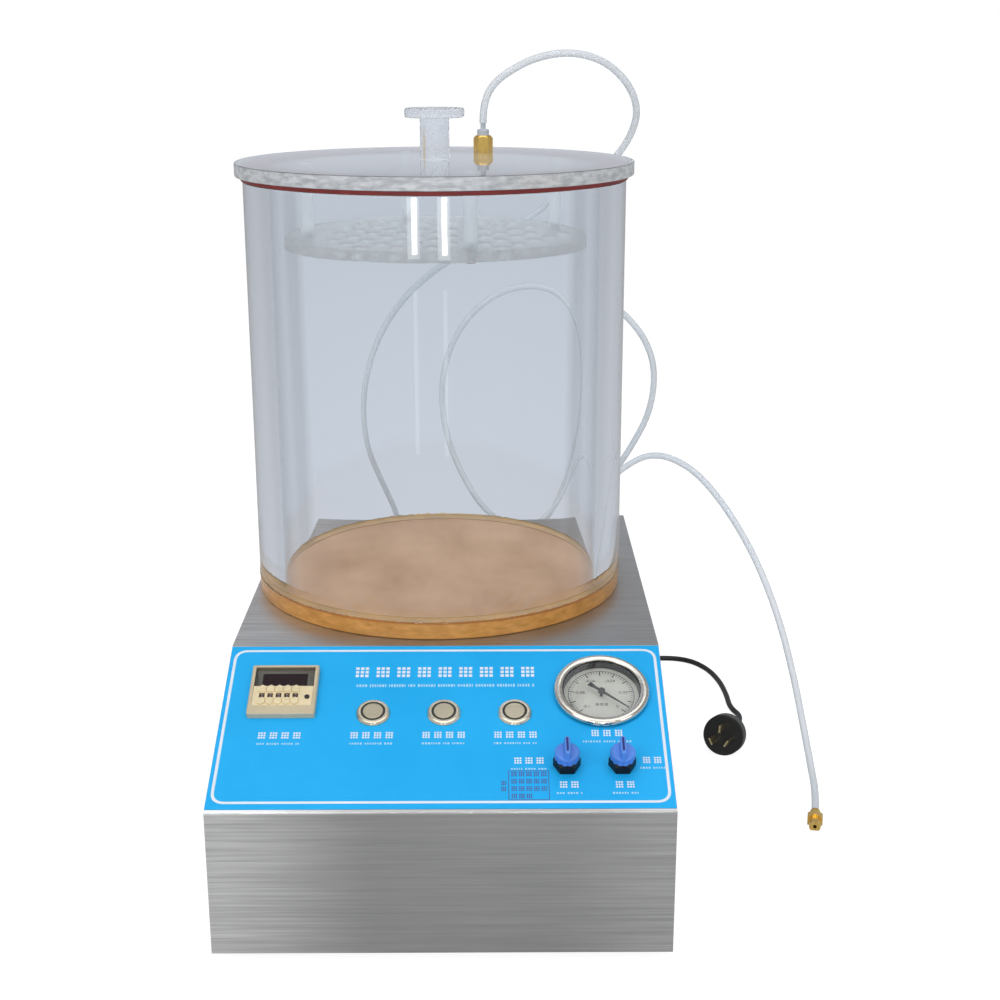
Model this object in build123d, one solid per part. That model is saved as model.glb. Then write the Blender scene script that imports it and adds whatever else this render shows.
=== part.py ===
"""Vacuum leak tester: a clear acrylic vacuum chamber standing on its stainless control cabinet.

Millimetres. +Z is up, the controls face -Y, and the origin is on the bench under the middle
of the cabinet. Everything on the sloped control panel is made in the panel's own plane, whose
x runs to the right, y up the slope and z out of the panel.
"""

import os
from math import atan2, cos, degrees, hypot, pi, radians, sin, tan

from build123d import *

# ---------------------------------------------------------------- cabinet
cabinet_w = 315.0
cabinet_d = 476.0
front_h = 106.5
body_h = 168.0
panel_run = 144.2
sheet = 1.5
bend_r = 3.0
flange_w = 12.0
side_gap = 0.4
base_t = 2.0
rear_margin = 4.0

foot_h = 8.0
foot_r = 12.0
foot_inset = 32.0
foot_dish_r = 6.0
foot_dish_h = 3.5

screw_r = 2.0
screw_clear = 0.2
screw_head_r = 4.0
screw_head_h = 2.4
screw_reach = 6.0
rear_screw_edge = 10.0
base_screw_edge = 7.5
nut_af = 7.0
nut_h = 3.2

# ---------------------------------------------------------------- control panel
overlay_t = 0.5
overlay_low = 2.1
overlay_high = 1.3
overlay_side = 0.3

timer_edge = 42.9
timer_s = 108.0
timer_w = 48.0
timer_body_w = 44.6
timer_depth = 58.0
timer_bezel_h = 5.0
timer_face_z = 2.0
timer_rim = 2.6
timer_strip = 7.8
window_w = 42.4
window_h = 18.4
window_t = 2.8
display_w = 31.6
display_h = 13.0
display_t = 0.7
display_x = 0.1
display_s = -1.8
switch_t = 3.2
digit_count = 5
digit_pitch = 5.95
digit_x = -14.7
digit_s = -6.2
digit_hole_w = 4.0
digit_hole_h = 4.4
wheel_r = 6.0
wheel_w = 3.6
wheel_sunk = 0.5
axle_r = 1.0
running_gap = 0.05
tab_w = 5.3
tab_h = 4.9
tab_peak = 1.7
tab_t = 1.2
tab_gap = 0.7
reset_x = 17.5
reset_s = -8.0
reset_r = 1.8
reset_h = 7.0
reset_proud = 1.0

button_pitch = 50.0
button_x = 0.3
button_s = 88.2
button_bezel_r = 12.1
button_bezel_h = 2.6
button_barrel_r = 9.4
button_barrel_h = 24.0
button_ring_r = 8.7
button_ring_t = 1.3
button_ring_h = 3.2
button_cap_gap = 0.2
button_cap_h = 3.0
button_cap_proud = 0.4
button_stem_r = 2.5
button_stem_h = 14.0
button_travel = 2.5
button_nut_af = 23.0
button_nut_h = 4.0
button_pin = (1.0, 2.8, 7.0)
hole_gap = 0.3

gauge_edge = 45.0
gauge_s = 108.0
gauge_case_r = 29.6
gauge_case_wall = 2.4
gauge_case_depth = 28.0
gauge_flange_r = 32.6
gauge_flange_t = 1.6
gauge_rim_z = 2.8
gauge_floor_z = -4.0
gauge_bezel_r = 34.2
gauge_bezel_h = 5.6
gauge_lip_r = 28.1
gauge_glass_t = 1.4
gauge_gap = 0.2
dial_t = 1.0
pointer_z = 1.2
pointer_t = 0.5
pointer_reach = 24.6
pointer_tail = 11.2
pointer_w = 2.2
pointer_hub_r = 2.6
pointer_hub_h = 1.6
pointer_shaft_r = 0.9
pointer_shaft_h = 5.0
pointer_rest = -40.6
gauge_stem_r = 6.5
gauge_stem_h = 16.0

valve_edges = (72.3, 34.5)
valve_s = 39.8
valve_nut_af = 16.4
valve_nut_h = 8.0
valve_stem_r = 5.0
valve_block_r = 11.0
valve_block_h = 20.0
valve_spindle_r = 3.0
valve_spindle_h = 5.0
handle_gap = 0.3
handle_r = 8.6
handle_skirt_h = 6.0
handle_fin_w = 5.0
handle_fin_l = 17.0
handle_h = 12.4

# ---------------------------------------------------------------- chamber
chamber_x = -8.95
chamber_y = 65.3
chamber_r = 148.0
chamber_wall_t = 20.0
chamber_h = 313.6
pad_t = 12.7
gasket_r = 149.5
gasket_t = 3.5
lid_r = 154.0
lid_t = 10.0
edge_break = 0.6

knob_r = 23.0
knob_flange_t = 7.0
knob_post_r = 11.3
knob_h = 39.0

fitting_radius = 114.7
fitting_angle = 71.3
fitting_af = 14.0
fitting_h = 12.0
fitting_stem_r = 4.8
fitting_gap = 0.2
collar_r = 5.0
collar_h = 5.0
neck_r = 2.2
neck_h = 5.0
bore_r = 1.5

plate_r = 118.0
plate_t = 8.0
plate_drop = 44.8
plate_hole_r = 5.5
plate_hole_pitch = 25.0
plate_hole_edge = 7.0
rod_r = 5.0
rod_count = 4
rod_radius = 100.0
rod_start = 16.0
plate_screw_r = 2.5
plate_screw_head_r = 4.5
plate_screw_head_h = 3.0
plate_screw_reach = 12.0

# ---------------------------------------------------------------- rear ports, hoses and lead
hose_r = 3.0
lid_port_x = -60.0
lid_port_z = 91.5
pump_port_x = 88.0
pump_port_z = 110.0
port_hex_af = 14.0
port_hex_h = 6.0
port_body_r = 6.0
port_body_h = 13.0
port_ring_r = 4.4
port_ring_h = 3.5
port_stem_r = 4.8
port_stem_h = 16.0
port_nut_h = 5.0

lead_r = 2.5
lead_x = 116.0
lead_z = 38.0
relief_flange_r = 9.0
relief_flange_h = 3.0
relief_stem_r = 6.4
relief_stem_h = 8.0
relief_tail_r = 5.2
relief_tail_tip_r = 3.6
relief_tail_h = 30.0
relief_groove = 1.0

coil_x = 40.0
coil_y = 330.0
coil_mid_r = 28.0
coil_wide = 3
coil_tall = 2

plug_r = 18.0
plug_face_t = 12.0
plug_body_l = 34.0
plug_tail_l = 20.0
plug_neck_r = 8.0
plug_tail_r = 4.0
plug_slack = 0.2
plug_x = 237.0
plug_y = 92.0
plug_turn = 22.0
blade_w = 6.3
blade_t = 1.6
blade_l = 17.0
blade_radius = 7.9
blade_angle = 30.0

end_af = 12.0
end_hex_h = 8.0
end_thread_r = 4.6
end_thread_h = 9.0
end_sleeve_r = 4.2
end_sleeve_h = 8.0

# ---------------------------------------------------------------- inside the cabinet
valve_unit_w = 26.0
valve_unit_h = 24.0
valve_unit_l = 44.0
coil_unit_r = 15.0
coil_unit_h = 34.0
solenoid_x = -60.0
solenoid_y = 140.0
manifold_x = 20.0
manifold_y = 160.0
manifold_size = (70.0, 25.0, 20.0)
supply_x = -60.0
supply_y = 20.0
supply_size = (85.0, 110.0, 32.0)
terminal_x = 60.0
terminal_y = 40.0
terminal_size = (64.0, 22.0, 16.0)

# ---------------------------------------------------------------- worked-out places
front_y = -cabinet_d / 2
back_y = cabinet_d / 2
under_z = foot_h
fold_z = under_z + front_h
top_z = under_z + body_h
panel_rise = top_z - fold_z
panel_tilt = atan2(panel_rise, panel_run)
panel_len = hypot(panel_run, panel_rise)
base_top_z = under_z + sheet + base_t
rear_face_y = back_y + sheet
timer_x = timer_edge - cabinet_w / 2
gauge_x = cabinet_w / 2 - gauge_edge
valve_x = [cabinet_w / 2 - edge for edge in valve_edges]

PANEL = Plane(
    origin=(0, front_y, fold_z),
    x_dir=(1, 0, 0),
    z_dir=(0, -sin(panel_tilt), cos(panel_tilt)),
)

pad_top_z = top_z + pad_t
wall_top_z = pad_top_z + chamber_h
lid_under_z = wall_top_z + gasket_t
lid_top_z = lid_under_z + lid_t
plate_top_z = lid_under_z - plate_drop
plate_under_z = plate_top_z - plate_t
fitting_x = chamber_x + fitting_radius * cos(radians(fitting_angle))
fitting_y = chamber_y + fitting_radius * sin(radians(fitting_angle))
hose_top_z = lid_top_z + fitting_h + collar_h + neck_h
port_face_y = rear_face_y + port_hex_h + port_body_h + port_ring_h
lead_exit_y = rear_face_y + relief_flange_h + relief_tail_h
coil_step = 2 * lead_r
coil_out_r = coil_mid_r + coil_wide * coil_step / 2 + 0.5
coil_in_r = coil_mid_r - coil_wide * coil_step / 2 - 0.5
coil_h = coil_tall * coil_step + 0.4


# ---------------------------------------------------------------- helpers
def rod(radius, height, z=0.0):
    """Upright cylinder that stands on z."""
    return Pos(0, 0, z + height / 2) * Cylinder(radius, height)


def ring(outer_r, inner_r, height, z=0.0):
    """Upright tube that stands on z."""
    return rod(outer_r, height, z) - rod(inner_r, height, z)


def block(x_size, y_size, z_size, z=0.0):
    """Box centred on the z axis that stands on z."""
    return Pos(0, 0, z + z_size / 2) * Box(x_size, y_size, z_size)


def hexagon(across_flats, height, z=0.0):
    """Upright hexagonal prism that stands on z."""
    return Pos(0, 0, z) * extrude(RegularPolygon(across_flats / 2, 6, major_radius=False), height)


def turned(*outline):
    """Solid of revolution about z from half an outline of (radius, z) points."""
    half = make_face(Plane.XZ * Polyline(*outline, close=True))
    return revolve(half, Axis.Z)


def screw(radius, reach, head_r, head_h):
    """Pan head screw along z: the head stands on z = 0 and the shank goes down."""
    head = rod(head_r, head_h)
    head = fillet(head.faces().sort_by(Axis.Z)[-1].edges(), head_h * 0.45)
    cross = block(head_r * 1.1, head_r * 0.28, head_h, head_h * 0.55)
    cross += block(head_r * 0.28, head_r * 1.1, head_h, head_h * 0.55)
    return head - cross + rod(radius, reach, -reach)


def on_panel(x, s, z=0.0):
    """Place on the control panel: x across, s up the slope, z out of the sheet."""
    return PANEL * Pos(x, s, z)


def group(solids):
    """Separate solids of identical pieces as one node."""
    return Compound(children=list(solids))


def unit(a, b):
    """Direction from point a to point b."""
    return (Vector(*b) - Vector(*a)).normalized()


def corner_radii(points):
    """Radius of the tangent arc at each inner point of a cord's route."""
    radii = []
    for before, here, after in zip(points, points[1:], points[2:]):
        turn = radians(unit(before, here).get_angle(unit(here, after)))
        run = min((Vector(*here) - Vector(*before)).length, (Vector(*after) - Vector(*here)).length)
        radii.append(0.45 * run / tan(turn / 2))
    return radii


def tube(name, points, radius):
    """A cord's plain tube along straight runs joined by tangent arcs."""
    radii = corner_radii(points)
    path = FilletPolyline(*points, radius=radii)
    start = Plane(origin=points[0], z_dir=unit(points[0], points[1]))
    solid = sweep(start * Circle(radius), path=path)
    share = solid.volume / (pi * radius**2 * path.length)
    print(name, "length", round(path.length, 1), "volume / (section x length)", round(share, 5))
    print("  radii", [round(r) for r in radii])
    return solid


# ---------------------------------------------------------------- cabinet pieces
def side_outline(inset):
    """The cabinet's side outline in its (y, z) plane, moved inwards by inset."""
    corners = [
        (front_y, under_z),
        (front_y, fold_z),
        (front_y + panel_run, top_z),
        (back_y, top_z),
        (back_y, under_z),
    ]
    face = make_face(Polyline(*corners, close=True))
    if inset:
        face = offset(face, -inset, kind=Kind.INTERSECTION)
    bends = [v for v in face.vertices() if v.Y > under_z + front_h / 2 and v.X < back_y - bend_r * 2]
    return fillet(bends, bend_r - inset)


def rear_screw_places():
    """Screws along the two upright edges and the two long edges of the rear panel."""
    half = cabinet_w / 2 - rear_screw_edge
    low = under_z + rear_screw_edge
    high = top_z - rear_screw_edge
    middle = (low + high) / 2
    return [(x, z) for x in (-half, 0.0, half) for z in (low, high)] + [(-half, middle), (half, middle)]


def base_screw_places():
    """Screws up through the bottom flange into the base plate."""
    x = cabinet_w / 2 - base_screw_edge
    y = cabinet_d / 2 - base_screw_edge
    return [(i * x, j * y) for i in (-1, 1) for j in (-1, 1)] + [(-x, 0.0), (x, 0.0)]


def foot_places():
    """Centres of the four feet."""
    x = cabinet_w / 2 - foot_inset
    y = cabinet_d / 2 - foot_inset
    return [(i * x, j * y) for i in (-1, 1) for j in (-1, 1)]


def panel_openings(grow):
    """Cutters for everything that passes through the sloped sheet, grown by a clearance."""
    deep = 4 * sheet
    z = -2 * sheet
    timer = on_panel(timer_x, timer_s) * block(timer_body_w + 2 * grow, timer_body_w + 2 * grow, deep, z)
    gauge = on_panel(gauge_x, gauge_s) * rod(gauge_case_r + grow, deep, z)
    buttons = [on_panel(x, button_s) * rod(button_barrel_r + grow, deep, z) for x in button_places()]
    valves = [on_panel(x, valve_s) * rod(valve_stem_r + grow, deep, z) for x in valve_x]
    return [timer, gauge, *buttons, *valves]


def cabinet_shell():
    """Folded stainless wrap: front, sloped panel, top and sides, flanged round rear and bottom."""
    outer = extrude(Plane.YZ * side_outline(0), cabinet_w / 2, both=True)
    hollow = extrude(Plane.YZ * side_outline(sheet), cabinet_w / 2 - sheet, both=True)
    rim = 2 * (sheet + flange_w)
    rear = Pos(0, back_y, (under_z + top_z) / 2) * Box(cabinet_w - rim, 3 * sheet, body_h - rim)
    bottom = Pos(0, 0, under_z) * Box(cabinet_w - rim, cabinet_d - rim, 3 * sheet)
    shell = outer - hollow - rear - bottom - panel_openings(hole_gap)
    hole = screw_r + screw_clear
    shell -= [Pos(x, back_y, z) * Rot(90, 0, 0) * Cylinder(hole, 4 * sheet) for x, z in rear_screw_places()]
    shell -= [Pos(x, y, under_z) * Cylinder(hole, 4 * sheet) for x, y in base_screw_places()]
    return shell


def rear_panel():
    """Flat plate screwed on the rear flange, with the holes for the ports and the lead."""
    plate = Box(cabinet_w - 2 * rear_margin, sheet, body_h - 2 * rear_margin)
    plate = fillet(plate.edges().filter_by(Axis.Y), rear_margin)
    plate = Pos(0, back_y + sheet / 2, (under_z + top_z) / 2) * plate
    hole = screw_r + screw_clear
    plate -= [Pos(x, back_y, z) * Rot(90, 0, 0) * Cylinder(hole, 4 * sheet) for x, z in rear_screw_places()]
    for x, z in port_places():
        plate -= Pos(x, back_y, z) * Rot(90, 0, 0) * Cylinder(port_stem_r + hole_gap, 4 * sheet)
    plate -= Pos(lead_x, back_y, lead_z) * Rot(90, 0, 0) * Cylinder(relief_stem_r + hole_gap, 4 * sheet)
    return plate


def base_plate():
    """Mounting plate that lies on the bottom flange and carries the feet and the inner units."""
    inner_w = cabinet_w - 2 * (sheet + side_gap)
    inner_d = cabinet_d - 2 * (sheet + side_gap)
    plate = block(inner_w, inner_d, base_t, under_z + sheet)
    hole = screw_r + screw_clear
    for x, y in base_screw_places() + foot_places():
        plate -= Pos(x, y, 0) * rod(hole, 3 * base_t, under_z)
    return plate


def rubber_foot():
    """Tapered foot with a dished underside for its screw."""
    height = foot_h + sheet
    foot = turned(
        (screw_r + screw_clear, 0),
        (foot_r * 0.86, 0),
        (foot_r, height * 0.35),
        (foot_r, height),
        (screw_r + screw_clear, height),
    )
    return foot - rod(foot_dish_r, foot_dish_h)


def foot_screws():
    """Screw up through each foot and the base plate, with its nut on top."""
    reach = foot_h + sheet - foot_dish_h + base_t + nut_h
    pieces = []
    for x, y in foot_places():
        turned_up = Pos(x, y, foot_dish_h) * Rot(180, 0, 0)
        pieces.append(turned_up * screw(screw_r, reach, screw_head_r, screw_head_h))
        nut = hexagon(nut_af, nut_h, base_top_z) - rod(screw_r, nut_h, base_top_z)
        pieces.append(Pos(x, y, 0) * nut)
    return group(pieces)


def cabinet_screws():
    """Pan head screws of the rear panel and of the base plate."""
    one = screw(screw_r, screw_reach, screw_head_r, screw_head_h)
    rear = [Pos(x, rear_face_y, z) * Rot(-90, 0, 0) * one for x, z in rear_screw_places()]
    under = [Pos(x, y, under_z) * Rot(180, 0, 0) * one for x, y in base_screw_places()]
    return group(rear + under)


def panel_overlay():
    """Printed film that covers the slope between its two bends."""
    length = panel_len - overlay_low - overlay_high
    middle = overlay_low + length / 2
    film = on_panel(0, middle) * block(cabinet_w - 2 * overlay_side, length, overlay_t)
    return film - panel_openings(hole_gap)


# ---------------------------------------------------------------- timer
def digit_places():
    """Across-panel offsets of the digit columns from the timer's middle."""
    return [digit_x + i * digit_pitch for i in range(digit_count)]


switch_w = window_w
switch_h = timer_w - timer_rim - timer_strip - window_h - 0.4
switch_top = timer_w / 2 - timer_rim - window_h - 0.2
window_mid = timer_w / 2 - timer_rim - window_h / 2
wheel_z = timer_face_z + switch_t - wheel_sunk - wheel_r


def timer_housing():
    """Timer body behind the panel, with the well and the axle of the digit wheels."""
    body = block(timer_body_w, timer_body_w, timer_depth + timer_face_z, -timer_depth)
    body = fillet(body.edges().filter_by(Axis.Z), 1.0)
    well_w = digit_pitch * digit_count
    middle = digit_x + digit_pitch * (digit_count - 1) / 2
    well_r = wheel_r + 0.8
    well = Pos(middle, digit_s, wheel_z) * Rot(0, 90, 0) * Cylinder(well_r, well_w)
    mouth = Pos(middle, digit_s, 0) * block(well_w, 2 * well_r, timer_face_z - wheel_z, wheel_z)
    axle = Pos(middle, digit_s, wheel_z) * Rot(0, 90, 0) * Cylinder(axle_r, well_w)
    bore = Pos(reset_x, reset_s, 0) * rod(reset_r + 0.1, reset_h, timer_face_z - reset_h + 1.0)
    feet = Pos(0, 0, -timer_depth - 4.0) * rod(14.0, 4.0)
    return on_panel(timer_x, timer_s) * (body - well - mouth - bore + axle + feet)


def timer_bezel():
    """Square front frame, deeper at the bottom strip, that clasps the housing's rim."""
    frame = block(timer_w, timer_w, timer_bezel_h, overlay_t)
    frame = fillet(frame.edges().filter_by(Axis.Z), 1.5)
    frame = chamfer(frame.faces().sort_by(Axis.Z)[-1].outer_wire().edges(), 0.8)
    socket = block(timer_body_w + 0.2, timer_body_w + 0.2, timer_face_z - overlay_t, overlay_t)
    opening_h = timer_w - timer_rim - timer_strip
    opening_y = (timer_strip - timer_rim) / 2
    opening = Pos(0, opening_y, 0) * block(window_w + 0.4, opening_h, timer_bezel_h * 2, 0)
    return on_panel(timer_x, timer_s) * (frame - socket - opening)


def timer_window():
    """Smoked window with the pocket for the display behind it."""
    plate = block(window_w, window_h, window_t, timer_face_z)
    plate = fillet(plate.faces().sort_by(Axis.Z)[-1].edges(), 0.4)
    pocket = block(display_w + 0.4, display_h + 0.4, display_t + 0.3, timer_face_z)
    return on_panel(timer_x, timer_s + window_mid) * (plate - Pos(display_x, display_s, 0) * pocket)


def timer_display():
    """Display block behind the smoked window."""
    plate = block(display_w, display_h, display_t, timer_face_z)
    return on_panel(timer_x + display_x, timer_s + window_mid + display_s) * plate


def switch_tab(direction):
    """One key of a digit column, pointing up (1) or down (-1) the panel, with a finger ridge."""
    half = tab_w / 2
    outline = Polyline(
        (-half, 0),
        (half, 0),
        (half, direction * tab_h),
        (0, direction * (tab_h + tab_peak)),
        (-half, direction * tab_h),
        close=True,
    )
    key = extrude(make_face(outline), tab_t)
    key = chamfer(key.faces().sort_by(Axis.Z)[-1].edges(), 0.35)
    ridge = Pos(0, direction * tab_h / 2, tab_t) * Box(tab_w * 0.5, 0.7, 0.6)
    return key + ridge


def timer_switch_block():
    """Cream block of push-wheel switches: digit windows with a key above and below each."""
    plate = Pos(0, switch_top - switch_h / 2, 0) * block(switch_w, switch_h, switch_t, timer_face_z)
    face_z = timer_face_z + switch_t
    for x in digit_places():
        window = block(digit_hole_w, digit_hole_h, 3 * switch_t, timer_face_z - switch_t)
        under = Pos(x, digit_s, wheel_z) * Rot(0, 90, 0) * Cylinder(wheel_r + 0.25, digit_hole_w)
        plate = plate - Pos(x, digit_s, 0) * window - under
    for x in digit_places():
        offset_s = digit_hole_h / 2 + tab_gap
        plate += Pos(x, digit_s + offset_s, face_z) * switch_tab(1)
        plate += Pos(x, digit_s - offset_s, face_z) * switch_tab(-1)
    plate -= Pos(reset_x, reset_s, 0) * rod(reset_r + 0.1, 3 * switch_t, timer_face_z - switch_t)
    return on_panel(timer_x, timer_s) * plate


def digit_wheel(x):
    """Ten-sided digit drum that turns on the axle across the timer."""
    drum = extrude(RegularPolygon(wheel_r, 10), wheel_w / 2, both=True)
    drum -= Cylinder(axle_r + running_gap, wheel_w)
    return on_panel(timer_x, timer_s) * Pos(x, digit_s, wheel_z) * Rot(0, 90, 0) * drum


def timer_reset():
    """Small reset button beside the digit columns."""
    top = timer_face_z + switch_t + reset_proud
    pin = rod(reset_r, reset_h - 2.5, top - reset_h + 2.5)
    pin = fillet(pin.faces().sort_by(Axis.Z)[-1].edges(), 0.4)
    return on_panel(timer_x + reset_x, timer_s + reset_s) * pin


# ---------------------------------------------------------------- push buttons
def button_places():
    """Across-panel places of the three push buttons."""
    return [button_x + i * button_pitch for i in (-1, 0, 1)]


ring_seat_z = overlay_t + button_bezel_h - button_ring_h + 0.2
ring_inner_r = button_ring_r - button_ring_t
cap_r = ring_inner_r - button_cap_gap
cap_top_z = overlay_t + button_bezel_h + button_cap_proud
cap_under_z = cap_top_z - button_cap_h
cap_floor_z = cap_under_z - button_travel - 0.4


def button_body(x):
    """Domed metal bezel and threaded barrel of a push button, with its two terminals."""
    top = overlay_t + button_bezel_h
    seat = button_ring_r + 0.1
    barrel_end = -button_barrel_h
    body = turned(
        (0, barrel_end),
        (button_barrel_r, barrel_end),
        (button_barrel_r, overlay_t),
        (button_bezel_r, overlay_t),
        (button_bezel_r, overlay_t + 0.8),
        (button_bezel_r - 1.0, top - 0.4),
        (button_bezel_r - 2.0, top),
        (seat, top),
        (seat, ring_seat_z),
        (ring_inner_r, ring_seat_z),
        (ring_inner_r, cap_floor_z),
        (0, cap_floor_z),
    )
    body -= rod(button_stem_r + running_gap, button_stem_h + 0.5, cap_floor_z - button_stem_h - 0.5)
    for side in (-1, 1):
        body += Pos(side * 4.0, 0, 0) * block(*button_pin, barrel_end - button_pin[2])
    return on_panel(x, button_s) * body


def button_ring():
    """Light ring between bezel and cap."""
    return ring(button_ring_r, ring_inner_r, button_ring_h - 0.4, ring_seat_z)


def button_cap(x):
    """Slightly dished cap on its guide stem."""
    cap = rod(cap_r, button_cap_h, cap_under_z)
    cap = fillet(cap.faces().sort_by(Axis.Z)[-1].edges(), 0.5)
    stem_reach = button_stem_h - button_travel
    return on_panel(x, button_s) * (cap + rod(button_stem_r, stem_reach, cap_under_z - stem_reach))


def button_nut():
    """Hexagonal nut that clamps a button from behind the sheet."""
    z = -sheet - button_nut_h
    return hexagon(button_nut_af, button_nut_h, z) - rod(button_barrel_r, button_nut_h, z)


# ---------------------------------------------------------------- gauge
def gauge_case():
    """Cup of the gauge behind the panel with its mounting flange and its rear connection."""
    inner_r = gauge_case_r - gauge_case_wall
    cup = turned(
        (0, -gauge_case_depth),
        (gauge_case_r, -gauge_case_depth),
        (gauge_case_r, overlay_t),
        (gauge_flange_r, overlay_t),
        (gauge_flange_r, overlay_t + gauge_flange_t),
        (gauge_case_r, overlay_t + gauge_flange_t),
        (gauge_case_r, gauge_rim_z),
        (inner_r, gauge_rim_z),
        (inner_r, gauge_floor_z),
        (0, gauge_floor_z),
    )
    cup -= rod(pointer_shaft_r + running_gap, pointer_shaft_h + 0.5, gauge_floor_z - pointer_shaft_h - 0.5)
    cup += rod(gauge_stem_r, gauge_stem_h, -gauge_case_depth - gauge_stem_h)
    cup += hexagon(gauge_stem_r * 2.2, gauge_stem_h * 0.4, -gauge_case_depth - gauge_stem_h * 0.4)
    return on_panel(gauge_x, gauge_s) * cup


def gauge_bezel():
    """Rolled and polished ring that holds the glass."""
    low = overlay_t + gauge_flange_t
    seat_z = gauge_rim_z + gauge_glass_t + 0.1
    inner_r = gauge_case_r + gauge_gap
    glass_r = gauge_case_r - 0.4
    profile = make_face(
        Plane.XZ
        * (
            Polyline((inner_r, low), (gauge_bezel_r - 0.5, low), (gauge_bezel_r, low + 0.5))
            + ThreePointArc(
                (gauge_bezel_r, low + 0.5),
                (gauge_bezel_r - 0.9, gauge_bezel_h - 0.8),
                (gauge_bezel_r - 2.9, gauge_bezel_h),
            )
            + ThreePointArc(
                (gauge_bezel_r - 2.9, gauge_bezel_h),
                (gauge_lip_r + 1.0, gauge_bezel_h - 0.35),
                (gauge_lip_r, gauge_bezel_h - 0.9),
            )
            + Polyline(
                (gauge_lip_r, gauge_bezel_h - 0.9),
                (gauge_lip_r, seat_z),
                (glass_r, seat_z),
                (glass_r, gauge_rim_z + 0.1),
                (inner_r, gauge_rim_z + 0.1),
                (inner_r, low),
            )
        )
    )
    return on_panel(gauge_x, gauge_s) * revolve(profile, Axis.Z)


def gauge_glass():
    """Flat glass on the rim of the case."""
    return on_panel(gauge_x, gauge_s) * rod(gauge_case_r - 0.6, gauge_glass_t, gauge_rim_z)


def gauge_dial():
    """Dial plate on the floor of the case."""
    radius = gauge_case_r - gauge_case_wall - gauge_gap
    plate = rod(radius, dial_t, gauge_floor_z) - rod(pointer_shaft_r + 0.4, dial_t, gauge_floor_z)
    return on_panel(gauge_x, gauge_s) * plate


def gauge_pointer():
    """Tapered pointer with a counterweight tail, on the shaft that turns in the case."""
    outline = Polyline(
        (-pointer_tail, -pointer_w * 0.9),
        (-pointer_tail * 0.45, -pointer_w / 2),
        (0, -pointer_w / 2),
        (pointer_reach, -0.25),
        (pointer_reach, 0.25),
        (0, pointer_w / 2),
        (-pointer_tail * 0.45, pointer_w / 2),
        (-pointer_tail, pointer_w * 0.9),
        close=True,
    )
    blade = Pos(0, 0, pointer_z) * extrude(make_face(outline), pointer_t)
    hub = rod(pointer_hub_r, pointer_hub_h, pointer_z - 0.4)
    shaft_under = gauge_floor_z - pointer_shaft_h
    shaft = rod(pointer_shaft_r, pointer_z - shaft_under, shaft_under)
    return on_panel(gauge_x, gauge_s) * Rot(0, 0, pointer_rest) * (blade + hub + shaft)


# ---------------------------------------------------------------- hand valves
def valve_body(x):
    """Hand valve under the sheet: threaded neck, turned block with two side ports, spindle."""
    neck_top = overlay_t + valve_nut_h
    body = turned(
        (0, -sheet - valve_block_h),
        (valve_block_r - 1.5, -sheet - valve_block_h),
        (valve_block_r, -sheet - valve_block_h + 1.5),
        (valve_block_r, -sheet),
        (valve_stem_r, -sheet),
        (valve_stem_r, neck_top),
        (valve_spindle_r, neck_top),
        (valve_spindle_r, neck_top + valve_spindle_h),
        (0, neck_top + valve_spindle_h),
    )
    for side in (-1, 1):
        port = Rot(0, side * 90, 0) * (rod(3.6, valve_block_r + 7.0) - rod(1.5, valve_block_r + 8.0))
        body += Pos(0, 0, -sheet - valve_block_h / 2) * port
    return on_panel(x, valve_s) * body


def valve_nut(x):
    """Black hexagonal nut on the face of the panel, chamfered at its upper corners."""
    nut = hexagon(valve_nut_af, valve_nut_h, overlay_t)
    cone = turned(
        (0, overlay_t),
        (valve_nut_af * 0.62, overlay_t),
        (valve_nut_af * 0.62, overlay_t + valve_nut_h - 2.2),
        (valve_nut_af * 0.46, overlay_t + valve_nut_h),
        (0, overlay_t + valve_nut_h),
    )
    return on_panel(x, valve_s) * ((nut & cone) - rod(valve_stem_r, valve_nut_h, overlay_t))


def valve_handle(x):
    """Pointer knob: round fluted skirt with a tall grip fin along its pointing direction."""
    low = overlay_t + valve_nut_h + handle_gap
    skirt = rod(handle_r, handle_skirt_h, low)
    skirt = fillet(skirt.faces().sort_by(Axis.Z)[-1].edges(), 1.6)
    fin_h = handle_h - handle_skirt_h + 2.0
    fin = Pos(0, 0, low + handle_h - fin_h) * extrude(
        RectangleRounded(handle_fin_w, handle_fin_l, handle_fin_w * 0.48), fin_h, taper=4
    )
    fin = fillet(fin.faces().sort_by(Axis.Z)[-1].edges(), 0.8)
    knob = skirt + fin
    flutes = PolarLocations(handle_r + 0.9, 12)
    knob -= [place * rod(1.5, handle_skirt_h * 0.72, low) for place in flutes]
    knob -= rod(valve_spindle_r + running_gap, valve_spindle_h + 0.3, low - handle_gap)
    return on_panel(x, valve_s) * knob


# ---------------------------------------------------------------- chamber
def at_chamber(z=0.0):
    """Place on the chamber's axis."""
    return Pos(chamber_x, chamber_y, z)


def chamber_pad():
    """Amber base disc of the chamber, which stands loose on the cabinet."""
    disc = rod(chamber_r, pad_t, top_z)
    disc = chamfer(disc.edges().filter_by(GeomType.CIRCLE), edge_break)
    return at_chamber() * disc


def chamber_wall():
    """Clear tube bonded on the base disc."""
    return at_chamber() * ring(chamber_r, chamber_r - chamber_wall_t, chamber_h, pad_top_z)


def rod_places():
    """Hanger rods of the press plate, seen from the chamber's axis."""
    return PolarLocations(rod_radius, rod_count, rod_start)


def lid_plate():
    """Clear lid disc with the hole of its hose fitting."""
    disc = rod(lid_r, lid_t, lid_under_z)
    disc = chamfer(disc.edges().filter_by(GeomType.CIRCLE), edge_break)
    hole = Pos(fitting_x, fitting_y, 0) * rod(fitting_stem_r + fitting_gap, lid_t, lid_under_z)
    return at_chamber() * disc - hole


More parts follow.
